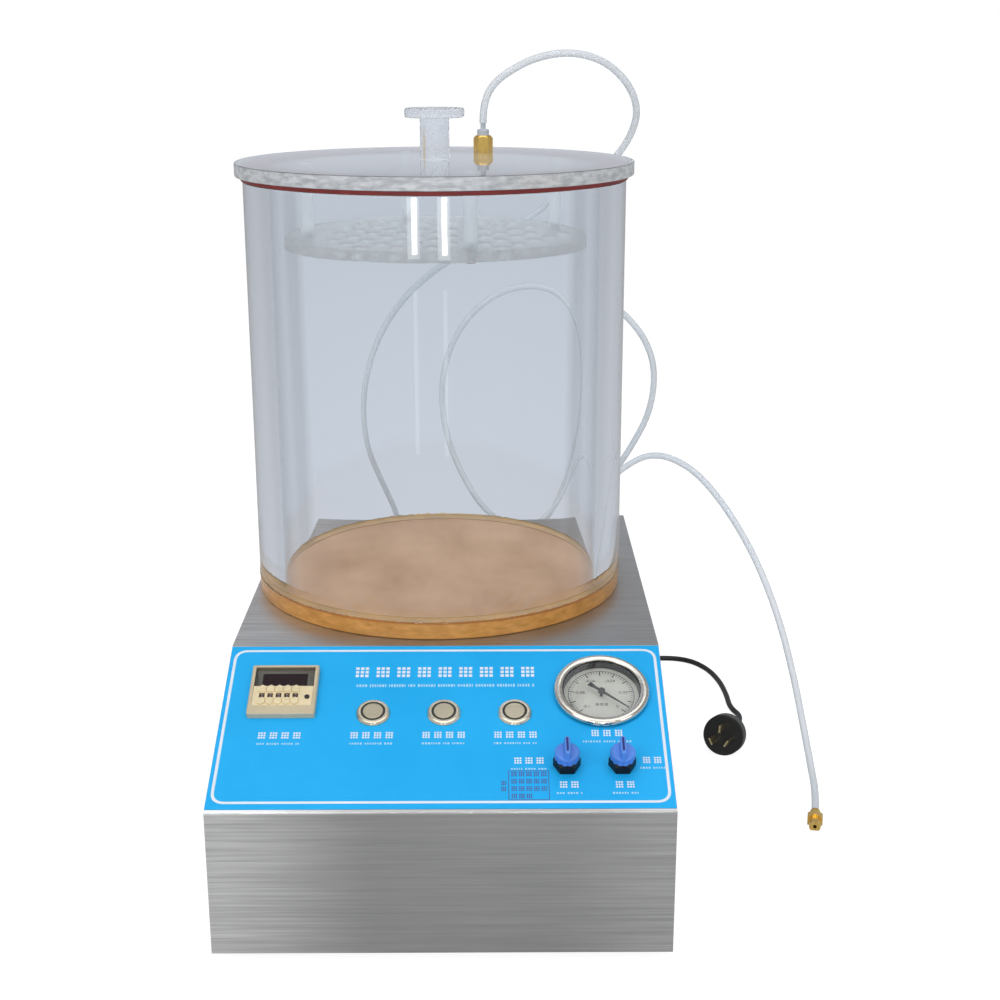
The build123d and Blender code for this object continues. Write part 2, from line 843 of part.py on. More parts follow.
def lid_gasket():
    """Flat red seal under the lid, resting on the rim of the tube."""
    return at_chamber() * ring(gasket_r, chamber_r - chamber_wall_t - 1.5, gasket_t, wall_top_z)


def lid_knob():
    """Turned clear grip: post and flange in one piece."""
    flange = rod(knob_r, knob_flange_t, lid_top_z + knob_h - knob_flange_t)
    grip = rod(knob_post_r, knob_h, lid_top_z) + flange
    rims = grip.edges().filter_by(GeomType.CIRCLE).filter_by(lambda e: e.radius > knob_post_r + 1)
    return at_chamber() * fillet(rims, 0.8)


def lid_fitting():
    """Brass hexagon with its threaded stem through the lid."""
    hexa = hexagon(fitting_af, fitting_h, lid_top_z)
    crown = turned(
        (0, lid_top_z),
        (fitting_af * 0.6, lid_top_z),
        (fitting_af * 0.6, lid_top_z + fitting_h - 2.5),
        (fitting_af * 0.44, lid_top_z + fitting_h),
        (0, lid_top_z + fitting_h),
    )
    stem = rod(fitting_stem_r, lid_t, lid_under_z)
    bore = rod(bore_r, lid_t + fitting_h, lid_under_z)
    return Pos(fitting_x, fitting_y, 0) * ((hexa & crown) + stem - bore)


def lid_fitting_collar():
    """Pale release collar of the fitting and the nozzle that carries the hose."""
    low = lid_top_z + fitting_h
    collar = rod(collar_r, collar_h, low)
    collar = fillet(collar.faces().sort_by(Axis.Z)[-1].edges(), 1.0)
    nozzle = rod(neck_r, neck_h, low + collar_h)
    return Pos(fitting_x, fitting_y, 0) * (collar + nozzle - rod(bore_r, collar_h + neck_h, low))


def perforation_places():
    """Staggered rows of holes inside the plate's rim, clear of the hanger rods."""
    rods = [place.position for place in rod_places()]
    row_step = plate_hole_pitch * sin(radians(60))
    rows = int(plate_r / row_step)
    reach = plate_r - plate_hole_edge - plate_hole_r
    clear_of_rod = plate_hole_r + rod_r + 2.0
    places = []
    for row in range(-rows, rows + 1):
        shift = plate_hole_pitch / 2 if row % 2 else 0.0
        for column in range(-rows - 1, rows + 2):
            here = Vector(column * plate_hole_pitch + shift, row * row_step, 0)
            if here.length <= reach and all((here - r).length > clear_of_rod for r in rods):
                places.append((here.X, here.Y))
    return places


def press_plate():
    """Perforated clear disc that holds the samples under water."""
    disc = rod(plate_r, plate_t, plate_under_z)
    disc -= [Pos(x, y, 0) * rod(plate_hole_r, plate_t, plate_under_z) for x, y in perforation_places()]
    disc -= [place * rod(plate_screw_r + 0.2, plate_t, plate_under_z) for place in rod_places()]
    return at_chamber() * disc


def press_plate_rod():
    """Clear hanger rod, tapped at its lower end."""
    hole = rod(plate_screw_r, plate_screw_reach - plate_t + 1.0, plate_top_z)
    return rod(rod_r, plate_drop, plate_top_z) - hole


def press_plate_screw():
    """Pan head screw from under the plate into a hanger rod."""
    one = screw(plate_screw_r, plate_screw_reach, plate_screw_head_r, plate_screw_head_h)
    return Pos(0, 0, plate_under_z) * Rot(180, 0, 0) * one


# ---------------------------------------------------------------- rear ports, hoses and lead
def port_places():
    """Hose ports on the rear panel: the lid's and the pump's."""
    return [(lid_port_x, lid_port_z), (pump_port_x, pump_port_z)]


def rear_port():
    """Brass push-in port out of the rear panel: stem, hexagon, barrel and release ring."""
    body = rod(port_stem_r, port_stem_h, -port_stem_h)
    body += hexagon(port_hex_af, port_hex_h)
    body += rod(port_body_r, port_body_h, port_hex_h)
    body += rod(port_ring_r, port_ring_h, port_hex_h + port_body_h)
    length = port_stem_h + port_hex_h + port_body_h + port_ring_h
    return Rot(-90, 0, 0) * (body - rod(bore_r, length, -port_stem_h))


def rear_port_nut():
    """Nut that clamps a port from inside the rear panel."""
    return Rot(90, 0, 0) * (hexagon(port_hex_af, port_nut_h) - rod(port_stem_r, port_nut_h))


def strain_relief():
    """Moulded bush of the mains lead: flange, stem through the panel and grooved tail."""
    tail_top = relief_flange_h + relief_tail_h
    bush = turned(
        (0, -relief_stem_h),
        (relief_stem_r, -relief_stem_h),
        (relief_stem_r, 0),
        (relief_flange_r, 0),
        (relief_flange_r, relief_flange_h),
        (relief_tail_r, relief_flange_h),
        (relief_tail_tip_r, tail_top),
        (0, tail_top),
    )
    for i in range(4):
        z = relief_flange_h + 4.0 + i * 6.0
        cut = block(3 * relief_tail_r, relief_tail_r, 2.2, z)
        side = relief_tail_r * 1.5 - relief_groove
        bush -= Pos(0, side if i % 2 else -side, 0) * cut
    return Pos(lead_x, rear_face_y, lead_z) * Rot(-90, 0, 0) * bush


def lid_hose_points():
    """From the lid's fitting over the rim, down behind the chamber to its rear port."""
    return [
        (fitting_x, fitting_y, hose_top_z),
        (fitting_x, fitting_y, hose_top_z + 14.0),
        (34.8, 174.8, 568.0),
        (50.0, 176.0, 580.0),
        (73.0, 178.0, 591.0),
        (101.0, 182.0, 595.0),
        (129.0, 188.0, 588.0),
        (150.0, 196.0, 570.0),
        (160.0, 204.0, 548.0),
        (156.0, 213.0, 527.0),
        (144.0, 221.0, 507.0),
        (120.0, 229.0, 482.0),
        (92.0, 236.0, 458.0),
        (32.0, 236.0, 434.0),
        (-26.0, 238.0, 404.0),
        (-70.0, 240.0, 360.0),
        (-94.0, 244.0, 304.0),
        (-96.0, 258.0, 246.0),
        (-82.0, 290.0, 200.0),
        (-67.0, 313.0, 162.0),
        (-62.0, 320.0, 133.0),
        (-60.5, 315.0, 111.0),
        (lid_port_x, 302.0, lid_port_z + 6.0),
        (lid_port_x, 282.0, lid_port_z),
        (lid_port_x, port_face_y, lid_port_z),
    ]


def pump_hose_points():
    """From its rear port once round in a standing loop, then over and down to the bench."""
    return [
        (pump_port_x, port_face_y, pump_port_z),
        (pump_port_x, 283.0, pump_port_z),
        (91.0, 306.0, 115.0),
        (101.0, 320.0, 129.0),
        (119.0, 324.0, 150.0),
        (142.0, 318.0, 179.0),
        (168.0, 304.0, 222.0),
        (188.0, 292.0, 268.0),
        (188.0, 286.0, 320.0),
        (158.0, 283.0, 362.0),
        (110.0, 281.0, 388.0),
        (56.0, 280.0, 386.0),
        (12.0, 279.0, 358.0),
        (-12.0, 278.0, 312.0),
        (-12.0, 277.0, 258.0),
        (8.0, 276.0, 208.0),
        (38.0, 275.0, 168.0),
        (82.0, 274.0, 152.0),
        (124.0, 273.0, 176.0),
        (156.0, 272.0, 212.0),
        (188.0, 269.0, 230.0),
        (224.0, 250.0, 218.0),
        (252.0, 216.0, 188.0),
        (274.0, 178.0, 152.0),
        (290.0, 142.0, 110.0),
        (300.0, 110.0, 66.0),
        (305.0, 76.0, 28.0),
        (306.0, 42.0, 7.0),
        (303.0, 8.0, hose_r + 0.4),
        (296.0, -26.0, hose_r + 0.4),
    ]


def lead_start_points():
    """From the strain relief down to the bench and into the coil."""
    z = lead_r + 0.3
    return [
        (lead_x, lead_exit_y, lead_z),
        (lead_x, 294.0, lead_z),
        (112.0, 313.0, 30.0),
        (102.0, 330.0, 15.0),
        (88.0, 343.0, 5.0),
        (70.0, 352.0, z),
        (coil_x + 8.0, coil_y + coil_mid_r + coil_step / 2, z),
    ]


def plug_axis():
    """Direction in which the plug's blades point along the bench, before its tilt."""
    return (-sin(radians(plug_turn)), -cos(radians(plug_turn)))


def plug_length():
    """Length of the moulded plug from its face to the end of its tail."""
    return plug_body_l + plug_tail_l


def plug_tilt():
    """Angle at which the plug lies on the rim of its face and on its tail."""
    return atan2(plug_r - plug_tail_r, plug_length())


def plug_place():
    """The plug's own frame: z towards the blades, origin in the middle of its face."""
    tilt = plug_tilt()
    ahead = plug_axis()
    direction = Vector(ahead[0] * cos(tilt), ahead[1] * cos(tilt), sin(tilt))
    centre_z = plug_r * cos(tilt) + plug_slack
    return Plane(origin=(plug_x, plug_y, centre_z), z_dir=direction)


def plug_tail_end(distance=0.0):
    """Point on the plug's axis behind its tail."""
    place = plug_place()
    back = place.origin - place.z_dir * (plug_length() + distance)
    return (back.X, back.Y, back.Z)


def lead_run_points():
    """From the coil round the rear corner and forward along the bench to the plug."""
    z = lead_r + 0.3
    return [
        (coil_x + 10.0, coil_y - coil_mid_r - coil_step, z),
        (86.0, 293.0, z),
        (126.0, 294.0, z),
        (166.0, 301.0, z),
        (202.0, 312.0, z),
        (231.0, 307.0, z),
        (248.0, 283.0, z),
        (256.0, 250.0, z),
        (258.0, 216.0, z),
        (257.0, 186.0, z),
        plug_tail_end(24.0)[:2] + (z + 0.6,),
        plug_tail_end(),
    ]


def lead_coil():
    """Outer shape of the coil that the spare lead is wound into."""
    return Pos(coil_x, coil_y, 0) * ring(coil_out_r, coil_in_r, coil_h, 0.2)


def plug_body():
    """Moulded round plug: flat face, shoulder, finger waist and tapered tail."""
    waist = -plug_face_t
    shoulder = -plug_body_l
    end = -plug_length()
    body = turned(
        (0, 0),
        (plug_r - 1.0, 0),
        (plug_r, -1.0),
        (plug_r, waist),
        (plug_r * 0.72, waist - 6.0),
        (plug_neck_r, shoulder),
        (plug_tail_r + 1.4, shoulder - 3.0),
        (plug_tail_r, end),
        (0, end),
    )
    return plug_place() * body


def plug_blades():
    """Three flat blades: two slanting live ones and the earth blade."""
    blades = []
    for around, lean in ((90.0 + 60.0, -blade_angle), (90.0 - 60.0, blade_angle), (270.0, 90.0)):
        centre = (blade_radius * cos(radians(around)), blade_radius * sin(radians(around)))
        long_way = 90.0 if lean == 90.0 else 90.0 + lean
        flat = Rot(0, 0, long_way) * block(blade_w, blade_t, blade_l)
        blades.append(plug_place() * Pos(centre[0], centre[1], 0) * flat)
    return group(blades)


def pump_hose_fitting():
    """Brass end of the pump hose lying on the bench: sleeve, hexagon and thread."""
    points = pump_hose_points()
    ahead = unit(points[-2], points[-1])
    body = rod(end_sleeve_r, end_sleeve_h)
    body += hexagon(end_af, end_hex_h, end_sleeve_h)
    body += rod(end_thread_r, end_thread_h, end_sleeve_h + end_hex_h)
    body -= rod(bore_r, end_sleeve_h + end_hex_h + end_thread_h)
    return Plane(origin=points[-1], x_dir=(0, 0, 1), z_dir=ahead) * body


# ---------------------------------------------------------------- inside the cabinet
def solenoid_valve():
    """Vacuum solenoid valve: ported block with its coil on top."""
    body = block(valve_unit_l, valve_unit_w, valve_unit_h, base_top_z)
    body += rod(coil_unit_r, coil_unit_h, base_top_z + valve_unit_h)
    port = Rot(0, 90, 0) * Cylinder(5.0, valve_unit_l + 20.0)
    return Pos(solenoid_x, solenoid_y, 0) * (body + Pos(0, 0, base_top_z + valve_unit_h / 2) * port)


def manifold_block():
    """Drilled block that joins the chamber line, the gauge and the vent."""
    body = block(*manifold_size, base_top_z)
    for i in (-1, 0, 1):
        body += Pos(i * manifold_size[0] / 3.2, 0, 0) * rod(5.0, 9.0, base_top_z + manifold_size[2])
    return Pos(manifold_x, manifold_y, 0) * body


def power_supply():
    """Switching power supply in its perforated case."""
    body = block(*supply_size, base_top_z)
    slots = GridLocations(0, supply_size[1] / 9, 1, 7)
    for place in slots:
        body -= place * block(supply_size[0] * 0.6, 3.0, 2.0, base_top_z + supply_size[2] - 2.0)
    return Pos(supply_x, supply_y, 0) * body


def terminal_block():
    """Screw terminal strip for the mains and control wiring."""
    body = block(*terminal_size, base_top_z)
    for place in GridLocations(terminal_size[0] / 7, 0, 6, 1):
        body -= place * rod(2.4, 4.0, base_top_z + terminal_size[2] - 4.0)
    return Pos(terminal_x, terminal_y, 0) * body


# ---------------------------------------------------------------- all nodes
def nodes():
    """Every sub-part by name."""
    out = {
        "cabinet_shell": cabinet_shell(),
        "rear_panel": rear_panel(),
        "base_plate": base_plate(),
        "rubber_feet": group(Pos(x, y, 0) * rubber_foot() for x, y in foot_places()),
        "foot_screws": foot_screws(),
        "cabinet_screws": cabinet_screws(),
        "panel_overlay": panel_overlay(),
        "timer_housing": timer_housing(),
        "timer_bezel": timer_bezel(),
        "timer_window": timer_window(),
        "timer_display": timer_display(),
        "timer_switch_block": timer_switch_block(),
        "timer_reset_button": timer_reset(),
        "gauge_case": gauge_case(),
        "gauge_bezel": gauge_bezel(),
        "gauge_glass": gauge_glass(),
        "gauge_dial": gauge_dial(),
        "gauge_pointer": gauge_pointer(),
        "button_rings": group(on_panel(x, button_s) * button_ring() for x in button_places()),
        "button_nuts": group(on_panel(x, button_s) * button_nut() for x in button_places()),
        "valve_bodies": group(valve_body(x) for x in valve_x),
        "valve_nuts": group(valve_nut(x) for x in valve_x),
        "chamber_base": chamber_pad(),
        "chamber_wall": chamber_wall(),
        "lid_plate": lid_plate(),
        "lid_gasket": lid_gasket(),
        "lid_knob": lid_knob(),
        "lid_fitting": lid_fitting(),
        "lid_fitting_collar": lid_fitting_collar(),
        "press_plate": press_plate(),
        "press_plate_rods": group(at_chamber() * p * press_plate_rod() for p in rod_places()),
        "press_plate_screws": group(at_chamber() * p * press_plate_screw() for p in rod_places()),
        "rear_ports": group(Pos(x, rear_face_y, z) * rear_port() for x, z in port_places()),
        "rear_port_nuts": group(Pos(x, back_y, z) * rear_port_nut() for x, z in port_places()),
        "strain_relief": strain_relief(),
        "solenoid_valve": solenoid_valve(),
        "manifold_block": manifold_block(),
        "power_supply": power_supply(),
        "terminal_block": terminal_block(),
        "lid_hose": tube("lid_hose", lid_hose_points(), hose_r),
        "pump_hose": tube("pump_hose", pump_hose_points(), hose_r),
        "pump_hose_fitting": pump_hose_fitting(),
        "mains_lead_start": tube("mains_lead_start", lead_start_points(), lead_r),
        "mains_lead_coil": lead_coil(),
        "mains_lead_run": tube("mains_lead_run", lead_run_points(), lead_r),
        "mains_plug_body": plug_body(),
        "mains_plug_blades": plug_blades(),
    }
    for i, x in enumerate(digit_places(), 1):
        out[f"timer_digit_wheel_{i}"] = digit_wheel(x)
    for i, x in enumerate(button_places(), 1):
        out[f"button_body_{i}"] = button_body(x)
        out[f"button_cap_{i}"] = button_cap(x)
    for i, x in enumerate(valve_x, 1):
        out[f"valve_handle_{i}"] = valve_handle(x)
    return out


os.makedirs("parts", exist_ok=True)
for node, shape in nodes().items():
    export_step(shape, f"parts/{node}.step")
print("panel tilt", round(degrees(panel_tilt), 2), "lid top", round(lid_top_z, 1))
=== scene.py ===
"""Looks of the vacuum leak tester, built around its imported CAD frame. Metres, +Z up, controls towards -Y."""

import math
import random

import bmesh
import bpy
from mathutils import Matrix, Vector


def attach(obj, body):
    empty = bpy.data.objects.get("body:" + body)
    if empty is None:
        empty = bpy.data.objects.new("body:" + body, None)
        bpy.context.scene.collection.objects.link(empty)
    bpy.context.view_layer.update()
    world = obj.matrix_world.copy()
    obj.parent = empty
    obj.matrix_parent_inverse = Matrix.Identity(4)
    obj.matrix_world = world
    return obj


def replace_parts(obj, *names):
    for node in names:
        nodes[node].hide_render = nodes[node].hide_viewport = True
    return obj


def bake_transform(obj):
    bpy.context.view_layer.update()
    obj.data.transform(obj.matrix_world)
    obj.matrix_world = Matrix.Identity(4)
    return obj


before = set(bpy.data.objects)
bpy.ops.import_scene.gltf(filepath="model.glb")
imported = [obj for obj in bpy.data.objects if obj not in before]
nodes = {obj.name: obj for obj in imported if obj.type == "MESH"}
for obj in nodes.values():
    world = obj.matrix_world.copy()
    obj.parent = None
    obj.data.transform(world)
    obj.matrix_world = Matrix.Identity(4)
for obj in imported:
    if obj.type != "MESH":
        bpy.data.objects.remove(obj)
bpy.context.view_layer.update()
scene = bpy.context.scene
scene.view_settings.view_transform = "Standard"

# The part's sizes below are in millimetres. Meshes, camera, lamps and patterns are in metres.
MM = 0.001
SHARP = 35.0  # degrees between two faces from which their edge stays sharp
CHAMBER = (-8.95, 65.3)  # the chamber's axis


# ---------------------------------------------------------------- camera
CAMERA_PLACE = (0.03579, -1.19771, 0.60936)
CAMERA_YAW, CAMERA_PITCH, CAMERA_ROLL = 0.237, 16.598, -0.089
CAMERA_LENS, CAMERA_SHIFT = 57.545, 0.0100


def make_camera():
    """The main camera: just above the lid's height, looking a little down."""
    yaw, pitch, roll = (math.radians(a) for a in (CAMERA_YAW, CAMERA_PITCH, CAMERA_ROLL))
    forward = Vector((math.sin(yaw) * math.cos(pitch), math.cos(yaw) * math.cos(pitch), -math.sin(pitch)))
    level = Vector((math.cos(yaw), -math.sin(yaw), 0))
    upright = level.cross(forward)
    right = level * math.cos(roll) + upright * math.sin(roll)
    up = upright * math.cos(roll) - level * math.sin(roll)
    camera = bpy.data.objects.new("camera", bpy.data.cameras.new("camera"))
    scene.collection.objects.link(camera)
    turn = Matrix((right, up, -forward)).transposed().to_4x4()
    camera.matrix_world = Matrix.Translation(CAMERA_PLACE) @ turn
    camera.data.sensor_width = 36
    camera.data.lens = CAMERA_LENS
    camera.data.shift_y = CAMERA_SHIFT
    camera.data.clip_start = 0.01
    scene.camera = camera


make_camera()


# ---------------------------------------------------------------- materials
# Below, made is the material, or the world, whose nodes are built.
def principled(name, color, roughness, metallic=0.0, **inputs):
    """A plain material. Its patterns are added by the functions below."""
    made = bpy.data.materials.new(name)
    made.use_nodes = True
    shader = made.node_tree.nodes["Principled BSDF"]
    shader.inputs["Base Color"].default_value = (*color, 1)
    shader.inputs["Roughness"].default_value = roughness
    shader.inputs["Metallic"].default_value = metallic
    for key, value in inputs.items():
        shader.inputs[key.replace("_", " ")].default_value = value
    return made


def noise(made, size, stretch=(1, 1, 1), detail=3.0, rough=0.55):
    """Noise whose features are about size metres, longer along the axes with a larger stretch."""
    tree = made.node_tree
    where = tree.nodes.new("ShaderNodeTexCoord")
    scaled = tree.nodes.new("ShaderNodeMapping")
    scaled.inputs["Scale"].default_value = [1 / (size * s) for s in stretch]
    pattern = tree.nodes.new("ShaderNodeTexNoise")
    pattern.inputs["Scale"].default_value = 1.0
    pattern.inputs["Detail"].default_value = detail
    pattern.inputs["Roughness"].default_value = rough
    tree.links.new(where.outputs["Object"], scaled.inputs["Vector"])
    tree.links.new(scaled.outputs["Vector"], pattern.inputs["Vector"])
    return pattern.outputs["Fac"]


def spread(made, value, low, high, start=0.3, end=0.7):
    """The value between start and end, spread from low to high."""
    node = made.node_tree.nodes.new("ShaderNodeMapRange")
    for key, number in (("From Min", start), ("From Max", end), ("To Min", low), ("To Max", high)):
        node.inputs[key].default_value = number
    made.node_tree.links.new(value, node.inputs["Value"])
    return node.outputs["Result"]


def blend_colors(made, factor, first, second):
    """Mix of two colours, each a tuple or a socket, by a factor socket."""
    tree = made.node_tree
    node = tree.nodes.new("ShaderNodeMix")
    node.data_type = "RGBA"
    tree.links.new(factor, node.inputs["Factor"])
    for key, color in (("A", first), ("B", second)):
        socket = next(s for s in node.inputs if s.name == key and s.type == "RGBA")
        if isinstance(color, tuple):
            socket.default_value = (*color, 1)
        else:
            tree.links.new(color, socket)
    return next(s for s in node.outputs if s.type == "RGBA")


def feed(made, key, socket):
    """Links a socket to an input of the material's main shader."""
    made.node_tree.links.new(socket, made.node_tree.nodes["Principled BSDF"].inputs[key])
    return made


def bump(made, height, distance, strength=1.0):
    """Surface relief from a height socket. Distance is in metres."""
    tree = made.node_tree
    node = tree.nodes.new("ShaderNodeBump")
    node.inputs["Distance"].default_value = distance
    node.inputs["Strength"].default_value = strength
    tree.links.new(height, node.inputs["Height"])
    return feed(made, "Normal", node.outputs["Normal"])


def let_light_through(made, color):
    """Lamps shine through the glass instead of leaving a black shadow."""
    tree = made.node_tree
    path = tree.nodes.new("ShaderNodeLightPath")
    passing = tree.nodes.new("ShaderNodeBsdfTransparent")
    passing.inputs["Color"].default_value = (*color, 1)
    mix = tree.nodes.new("ShaderNodeMixShader")
    tree.links.new(path.outputs["Is Shadow Ray"], mix.inputs["Fac"])
    tree.links.new(tree.nodes["Principled BSDF"].outputs["BSDF"], mix.inputs[1])
    tree.links.new(passing.outputs["BSDF"], mix.inputs[2])
    tree.links.new(mix.outputs["Shader"], tree.nodes["Material Output"].inputs["Surface"])
    return made


def grey(level):
    """A colour without a tint."""
    return (level, level, level)


def axis_of(made, source, axis):
    """One axis of a texture coordinate, such as X of the object or of its normal."""
    tree = made.node_tree
    where = tree.nodes.new("ShaderNodeTexCoord")
    split = tree.nodes.new("ShaderNodeSeparateXYZ")
    tree.links.new(where.outputs[source], split.inputs["Vector"])
    return split.outputs[axis]


def shade(made, factor, first, second):
    """Base colour as a mix of two colours, by a factor socket."""
    return feed(made, "Base Color", blend_colors(made, factor, first, second))


GRAIN = {"X": (60, 1, 1), "Y": (1, 60, 1), "Z": (1, 1, 60)}


def streaks_along(made, axis):
    """Coarser streaks of brushed metal along one axis, as a factor for its colour."""
    return spread(made, noise(made, 0.0016, GRAIN[axis], 2.0, 0.6), 0, 0.5)


def brushed_finish(made, low, high, along="X"):
    """Fine lines along one axis, in the relief and in a roughness between low and high."""
    lines = noise(made, 0.0006, GRAIN[along], 2.0, 0.6)
    feed(made, "Roughness", spread(made, lines, low, high))
    return bump(made, lines, 0.00002, 0.35)


def brushed(name, dark, light, low, high, along="X"):
    """Brushed metal: streaks along one axis over slow clouds, with finely lined polish."""
    made = principled(name, light, low, 1.0)
    clouds = spread(made, noise(made, 0.11, (1, 1, 4), 1.0), 0, 1, 0.35, 0.65)
    clouded = blend_colors(made, clouds, dark, light)
    shade(made, streaks_along(made, along), clouded, tuple(c * 0.86 for c in dark))
    return brushed_finish(made, low, high, along)


def side_lit(name, half_width, stops, low, high):
    """Brushed steel with painted light across its width: brightest at its left end, darkest in its middle and lighter
    again at its right end, with its streaks along X, or along Y on its sides.

    Each stop is a place across the width, from 0 to 1, and its painted grey level there. The second one sets the
    streaks."""
    middle = stops[1][1]
    made = principled(name, grey(middle), low, 1.0)
    tree = made.node_tree
    # Painted light: the grey levels of the stops, laid across X, stand in for the reflection of the lamps.
    ramp = tree.nodes.new("ShaderNodeValToRGB")
    ramp.color_ramp.interpolation = "EASE"
    across = spread(made, axis_of(made, "Object", "X"), 0, 1, -half_width, half_width)
    tree.links.new(across, ramp.inputs["Fac"])
    while len(ramp.color_ramp.elements) < len(stops):
        ramp.color_ramp.elements.new(0.5)
    for element, (place, level) in zip(ramp.color_ramp.elements, stops):
        element.position = place
        element.color = (*grey(level), 1)
    cloud = spread(made, noise(made, 0.08, (1, 1, 3), 1.0), 0, 0.35)
    uneven = blend_colors(made, cloud, ramp.outputs["Color"], grey(middle * 1.15))
    wide, deep = (blend_colors(made, streaks_along(made, axis), uneven, grey(middle * 0.68)) for axis in "XY")
    sideways = tree.nodes.new("ShaderNodeMath")
    sideways.operation = "ABSOLUTE"
    tree.links.new(axis_of(made, "Normal", "X"), sideways.inputs[0])
    shade(made, spread(made, sideways.outputs[0], 0, 1, 0.5, 0.8), wide, deep)
    return brushed_finish(made, low, high)


def moulded(name, color, roughness, grain=0.0004, depth=0.00002, shift=0.12, **inputs):
    """Moulded plastic or rubber: fine grain, with a slow change of shade."""
    made = principled(name, color, roughness, **inputs)
    shade(made, spread(made, noise(made, 0.02), 0, 1), tuple(c * (1 - shift) for c in color), color)
    grains = noise(made, grain, detail=2.0)
    feed(made, "Roughness", spread(made, grains, roughness * 0.9, min(1, roughness * 1.15)))
    return bump(made, grains, depth, 0.5)


def clear(name, color, roughness, bend=1.49, through=1.0):
    """Acrylic of one tint with a slightly uneven polish. A hazy one lets a smaller share of light through."""
    made = principled(name, color, roughness, IOR=bend, Transmission_Weight=through)
    feed(made, "Roughness", spread(made, noise(made, 0.006), roughness, roughness * 1.3 + 0.003))
    return let_light_through(made, (0.9, 0.93, 0.95))


def acrylic(name, color, roughness, waves=0.0, bend=1.49, through=1.0):
    """Cast acrylic whose tint is slightly uneven too, with a relief where waves is given."""
    made = clear(name, color, roughness, bend, through)
    cloud = noise(made, 0.04, (1, 1, 3), 2.0)
    shade(made, spread(made, cloud, 0, 1), tuple(c * 0.985 for c in color), color)
    return bump(made, cloud, waves, 0.4) if waves else made


def turned_away(made, blend):
    """How far the surface turns from the eye, for the painted shade at the edges of the wall and the hose."""
    node = made.node_tree.nodes.new("ShaderNodeLayerWeight")
    node.inputs["Blend"].default_value = blend
    return node.outputs["Facing"]


# Brushed metals: dark and light colour, least and most roughness, and the axis of their lines where it isn't X.
BRUSHED = {
    "rear_steel": (grey(0.48), (0.57, 0.57, 0.56), 0.3, 0.48),
    "base_steel": (grey(0.36), grey(0.46), 0.4, 0.55, "Y"),
    "screw_bright": (grey(0.80), (0.95, 0.95, 0.94), 0.3, 0.45),
    "screw_steel": ((0.45, 0.45, 0.44), (0.6, 0.6, 0.58), 0.25, 0.4),
    "polished": ((0.66, 0.63, 0.57), (0.80, 0.77, 0.70), 0.10, 0.2),
    "button_steel": ((0.74, 0.67, 0.52), (0.92, 0.85, 0.70), 0.16, 0.28),
    "button_cap": ((0.52, 0.47, 0.35), (0.66, 0.60, 0.46), 0.34, 0.46),
    "brass": ((0.80, 0.48, 0.10), (1.0, 0.70, 0.22), 0.18, 0.34, "Z"),
    "blade": ((0.66, 0.55, 0.30), (0.78, 0.68, 0.42), 0.2, 0.32, "Y"),
    "inner_metal": (grey(0.55), grey(0.68), 0.3, 0.45),
}
# Moulded plastics, rubber and print: what moulded() is given.
MOULDED = {
    "print_white": dict(color=(0.86, 0.93, 1.0), roughness=0.5, shift=0.05),
    "print_pale": dict(color=(0.42, 0.76, 1.0), roughness=0.5, shift=0.05),
    "print_purple": dict(color=(0.07, 0.06, 0.30), roughness=0.5),
    "foot_rubber": dict(color=grey(0.02), roughness=0.7),
    "timer_case": dict(color=(0.5, 0.48, 0.4), roughness=0.55),
    "timer_beige": dict(color=(0.66, 0.56, 0.38), roughness=0.42),
    "timer_cream": dict(color=(0.90, 0.76, 0.48), roughness=0.4),
    "timer_red": dict(color=(0.12, 0.004, 0.034), roughness=0.45, Specular_IOR_Level=0.1),
    "timer_black": dict(color=grey(0.01), roughness=0.25),
    "wheel_dark": dict(color=(0.06, 0.025, 0.02), roughness=0.45),
    "numeral": dict(color=(0.75, 0.72, 0.66), roughness=0.5),
    "gauge_case": dict(color=grey(0.03), roughness=0.4),
    "dial": dict(color=(0.72, 0.70, 0.62), roughness=0.55, shift=0.06),
    "dial_print": dict(color=grey(0.03), roughness=0.5),
    "pointer": dict(color=grey(0.012), roughness=0.4),
    "button_ring": dict(color=(0.03, 0.035, 0.03), roughness=0.3),
    "nut_black": dict(color=(0.008, 0.008, 0.009), roughness=0.45, Specular_IOR_Level=0.25),
    "knob_blue": dict(color=(0.10, 0.30, 0.90), roughness=0.38, shift=0.2),
    "knob_line": dict(color=(0.010, 0.012, 0.20), roughness=0.5),
    "collar": dict(color=(0.62, 0.66, 0.72), roughness=0.3),
    "amber_seat": dict(color=(0.72, 0.38, 0.09), roughness=0.35, grain=0.003, depth=0.0002, shift=0.3),
    "gasket": dict(color=(0.24, 0.018, 0.014), roughness=0.5, shift=0.3),
    "lead": dict(color=grey(0.010), roughness=0.42, grain=0.0005),
    "plug": dict(color=grey(0.010), roughness=0.38, grain=0.0006),
    "relief": dict(color=grey(0.02), roughness=0.5),
    "inner_dark": dict(color=(0.06, 0.06, 0.065), roughness=0.5),
}


